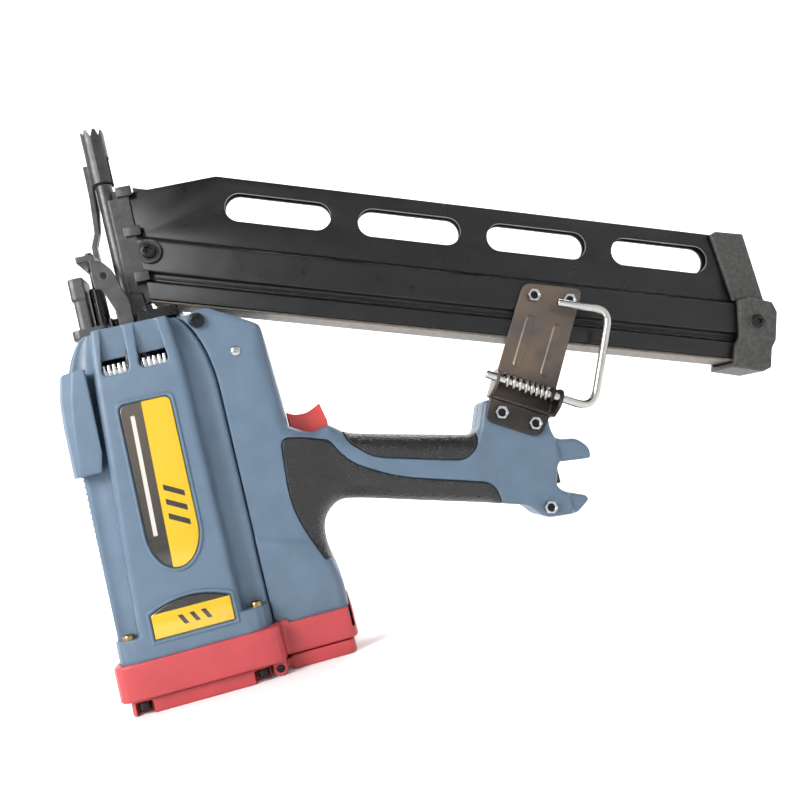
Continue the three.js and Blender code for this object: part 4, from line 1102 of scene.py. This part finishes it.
def hex_nut(name, thick):
    """A chamfered hexagon nut with a closed bore, standing on Z = 0 towards +Z."""
    body = prism(name, circle(NUT_ACROSS / math.sqrt(3), count=6), 0, thick, "z")
    cone = [(0, -1), (NUT_ACROSS, -1), (NUT_ACROSS * 0.72, thick - 0.45), (NUT_ACROSS * 0.49, thick),
            (0, thick)]
    body = boolean(body, [turned("cone", cone)], "INTERSECT")
    bore = [(0, -1), (NUT_BORE, -1), (NUT_BORE, thick - 0.5), (NUT_BORE + 0.6, thick + 0.1),
            (0, thick + 0.1)]
    return edged(boolean(body, [turned("bore", bore)]), 0.12, 30, 2)


def stud_end(name, high):
    """The dished end of a stud in a nut's bore."""
    radius = STUD_END_RADIUS
    profile = [(0, 0), (radius, 0), (radius, high - 0.5), (radius - 0.5, high), (radius * 0.45, high),
               (radius * 0.4, high - 1.2), (0, high - 1.2)]
    return shade_by_angle(turned(name, profile, 32), 40)


def facing_near(piece, x, y_face, z):
    """Turns a part that stands on Z = 0 so that it stands on a near face, out towards -Y."""
    place = Matrix.Translation(Vector((x, y_face, z)) * MM)
    return moved(piece, place @ Matrix.Rotation(math.pi / 2, 4, "X"))


def height_of(node):
    low, high = box_mm(node)
    return high.y - low.y


def on_place_of(node, piece):
    """Stands a part in the middle of a CAD node, on the face that the node stands on."""
    low, high = box_mm(node)
    return facing_near(piece, (low.x + high.x) / 2, high.y, (low.z + high.z) / 2)


for node in NUTS:
    nut = hex_nut(node + "_zinc", height_of(node))
    finished(on_place_of(node, moved(nut, Matrix.Rotation(NUT_TURN, 4, "Z"))), node)
    trim(on_place_of(node, stud_end(node + "_stud", height_of(node) - 0.4)), ROOT, "black_steel")


def socket_head(node, radius, lobed):
    """A round screw head with a hexagon or six-lobed socket."""
    high = height_of(node)
    profile = [(0, 0), (radius, 0), (radius, high - 0.9), (radius - 0.3, high - 0.3),
               (radius - 0.9, high), (0, high)]
    socket = circle(radius * 0.5, count=6)
    if lobed:
        angles = [2 * math.pi * k / 48 for k in range(48)]
        reach = [radius * 0.5 + radius * 0.09 * math.cos(6 * a) for a in angles]
        socket = [(r * math.cos(a), r * math.sin(a)) for r, a in zip(reach, angles)]
    tool = prism("socket", socket, high - min(2.2, high * 0.75), high + 2, "z")
    head = shade_by_angle(boolean(turned(node + "_head", profile), [tool]), 40)
    finished(on_place_of(node, head), node)


socket_head("shell_screw", 4.9, True)
socket_head("magazine_end_screw", 4.8, False)
socket_head("magazine_front_bolt", 4.9, True)

COLLAR = [(4.95, 0), (6.2, 0), (6.2, 0.5), (5.9, 0.8), (4.95, 0.8)]
collar = shade_by_angle(turned("end_screw_collar", COLLAR, 40), 35)
trim(on_place_of("magazine_end_screw", collar), ROOT, "cast_grey")
FLANGE = [(5.0, 0), (8.2, 0), (8.2, 1.1), (7.7, 1.6), (6.4, 1.6), (6.1, 1.2), (5.0, 1.2)]
flange = shade_by_angle(turned("bolt_flange", FLANGE), 35)
trim(on_place_of("magazine_front_bolt", flange), ROOT, "nose_steel")

INSERT_X, INSERT_Y = (-37.5, 40.2), 40.6
INSERT = [(0, 44), (3.6, 44), (3.6, 47.2), (3.2, 47.8), (1.9, 47.8), (1.9, 46), (0, 46)]
for x in INSERT_X:
    for side in (-1, 1):
        insert = shade_by_angle(turned("brass_insert", INSERT, 36), 35)
        place = Matrix.Translation(Vector((x, side * INSERT_Y, 0)) * MM)
        trim(moved(insert, place), ROOT, "zinc", "brass")

PIN_PROFILE = [(0, 0), (3, 0), (3, 0.5), (2.5, 0.9), (1.1, 1.0), (1.0, 0.7), (0, 0.7)]
pin = shade_by_angle(turned("shell_pin", PIN_PROFILE, 36), 35)
trim(facing_near(pin, 62.5, -FUEL_HALF + 1.5, 203.5), ROOT, "zinc")


# ------------ nose and housing details
TAB_FRONT, TAB_BACK, TAB_HALF, TAB_THICK = 9.0, 18.4, 3.4, 1.6
TABS = [(328.3, 8.8), (300.8, 8.8), (267.8, 15.3)]
tabs = []
for z, reach in TABS:
    hooked = [(TAB_FRONT, -6), (TAB_FRONT, -reach), (TAB_BACK, -reach), (TAB_BACK, TAB_THICK - reach),
              (15.0, TAB_THICK - reach), (15.0, -6)]
    tabs.append(edged(prism("tab", hooked, z - TAB_HALF, z + TAB_HALF, "z"), 0.5))
trim(merged("nose_tabs", tabs), ROOT, "nose_steel")

PROBE = BODY_OF["muzzle_probe"]
STRIP = [(-10.0, 349), (-5.9, 349), (-5.9, 322), (-8.4, 306), (-10.4, 303), (-9.6, 318)]
trim(edged(prism("probe_strip", STRIP, -2.4, 2.4, "y"), 0.5, segments=2), PROBE, "black_steel")
LINK_PIN_PLACE, LINK_PIN_RADIUS, LINK_PIN_ENDS = Vector((-8.5, 0, 271)), 1.9, (21.2, 22.6)
for side in (-1, 1):
    low_y, high_y = sorted(side * y for y in LINK_PIN_ENDS)
    profile = [(0, low_y), (LINK_PIN_RADIUS, low_y), (LINK_PIN_RADIUS, high_y), (0, high_y)]
    link_pin = shade_by_angle(turned("link_pin", profile, 24), 35)
    place = Matrix.Translation(LINK_PIN_PLACE * MM) @ Matrix.Rotation(-math.pi / 2, 4, "X")
    trim(moved(link_pin, place), PROBE, "black_steel")

RIB_STARTS, RIB_THICK, RIB_PROUD = range(52, 152, 4), 1.5, 0.7
ribs = [block("rib", (-HALF_X - RIB_PROUD, -27, z), (-HALF_X + 1, 27, z + RIB_THICK)) for z in RIB_STARTS]
trim(merged("grip_ribs", [edged(rib, 0.4, segments=2) for rib in ribs]), ROOT, "housing_blue")


# ------------ soft copies of CAD shapes
# Voxel size in millimetres and rounds of smoothing of each.
SOFT_COPIES = {
    "end_cap": (0.6, 5), "air_filter_cover": (0.6, 4), "fuel_door": (0.6, 4), "side_cover": (0.6, 5),
    "trigger": (0.4, 8), "magazine_end_cap": (0.5, 6), "nose_flange": (0.4, 3), "nosepiece": (0.35, 5),
    "muzzle_probe": (0.24, 2), "linkage_yoke": (0.45, 3), "depth_body": (0.4, 6), "depth_knob": (0.3, 2),
    "bracket_near": (0.45, 3), "bracket_far": (0.45, 3), "magazine_rail": (0.45, 2),
}
for node, (voxel, rounds) in SOFT_COPIES.items():
    paint = "rail_steel" if node == "magazine_rail" else SLOT_OF[node]
    finished(moulded(copy_of(node, node + "_soft"), voxel, rounds), node, paint=paint)


# ------------ carried-over CAD nodes
for node, cad in frame["nodes"].items():
    cad.data.materials.clear()
    cad.data.materials.append(PAINTS.get(SLOT_OF[node], PAINTS["cell_metal"]))


# ------------ stage and light
STAGE_RADIUS, STAGE_CURVE, STAGE_HEIGHT = 2200.0, 600.0, 2400.0


def add_stage():
    """A pale floor that curves up all round into a wall."""
    start = STAGE_RADIUS - STAGE_CURVE
    profile = [(0, 0), (600.0, 0), (start, 0)]
    for a in (math.pi / 2 * i / 16 for i in range(1, 17)):
        profile.append((start + STAGE_CURVE * math.sin(a), STAGE_CURVE * (1 - math.cos(a))))
    floor = smooth_faces(turned("stage", profile + [(STAGE_RADIUS, STAGE_HEIGHT)], 64))
    white = (0.92, 0.92, 0.92)
    paint = Paint("stage", white, 0.9, Emission_Color=(1, 1, 1, 1), Emission_Strength=0.05)
    floor.data.materials.append(paint.varied(400, 0.01).material)


def add_light(name, place, aim, size, power):
    data = bpy.data.lights.new(name, "AREA")
    data.shape = "RECTANGLE"
    data.size, data.size_y = size
    data.energy = power
    light = bpy.data.objects.new(name, data)
    bpy.context.scene.collection.objects.link(light)
    turn = (Vector(aim) - Vector(place)).to_track_quat("-Z", "Y").to_matrix().to_4x4()
    light.matrix_world = Matrix.Translation(Vector(place)) @ turn


def add_world():
    world = bpy.data.worlds.new("studio")
    world.use_nodes = True
    background = world.node_tree.nodes["Background"]
    background.inputs["Color"].default_value = (0.93, 0.96, 1.0, 1)
    background.inputs["Strength"].default_value = 0.08
    bpy.context.scene.world = world


add_stage()
add_world()
MIDDLE = (0.10, 0, 0.20)
add_light("key", (-0.66, -0.72, 0.66), MIDDLE, (0.50, 0.50), 15)
add_light("fill", (1.1, -1.1, 0.5), MIDDLE, (0.5, 0.9), 0.4)
add_light("top", (-0.1, 0.15, 1.2), MIDDLE, (0.9, 0.6), 2.2)
add_light("back", (0.75, 1.05, 1.25), MIDDLE, (0.7, 0.7), 6)
add_light("backdrop", (0.2, 0.6, 2.2), (0.2, 2.1, 0.5), (2.6, 0.6), 70)
bpy.context.scene.view_settings.view_transform = "Standard"
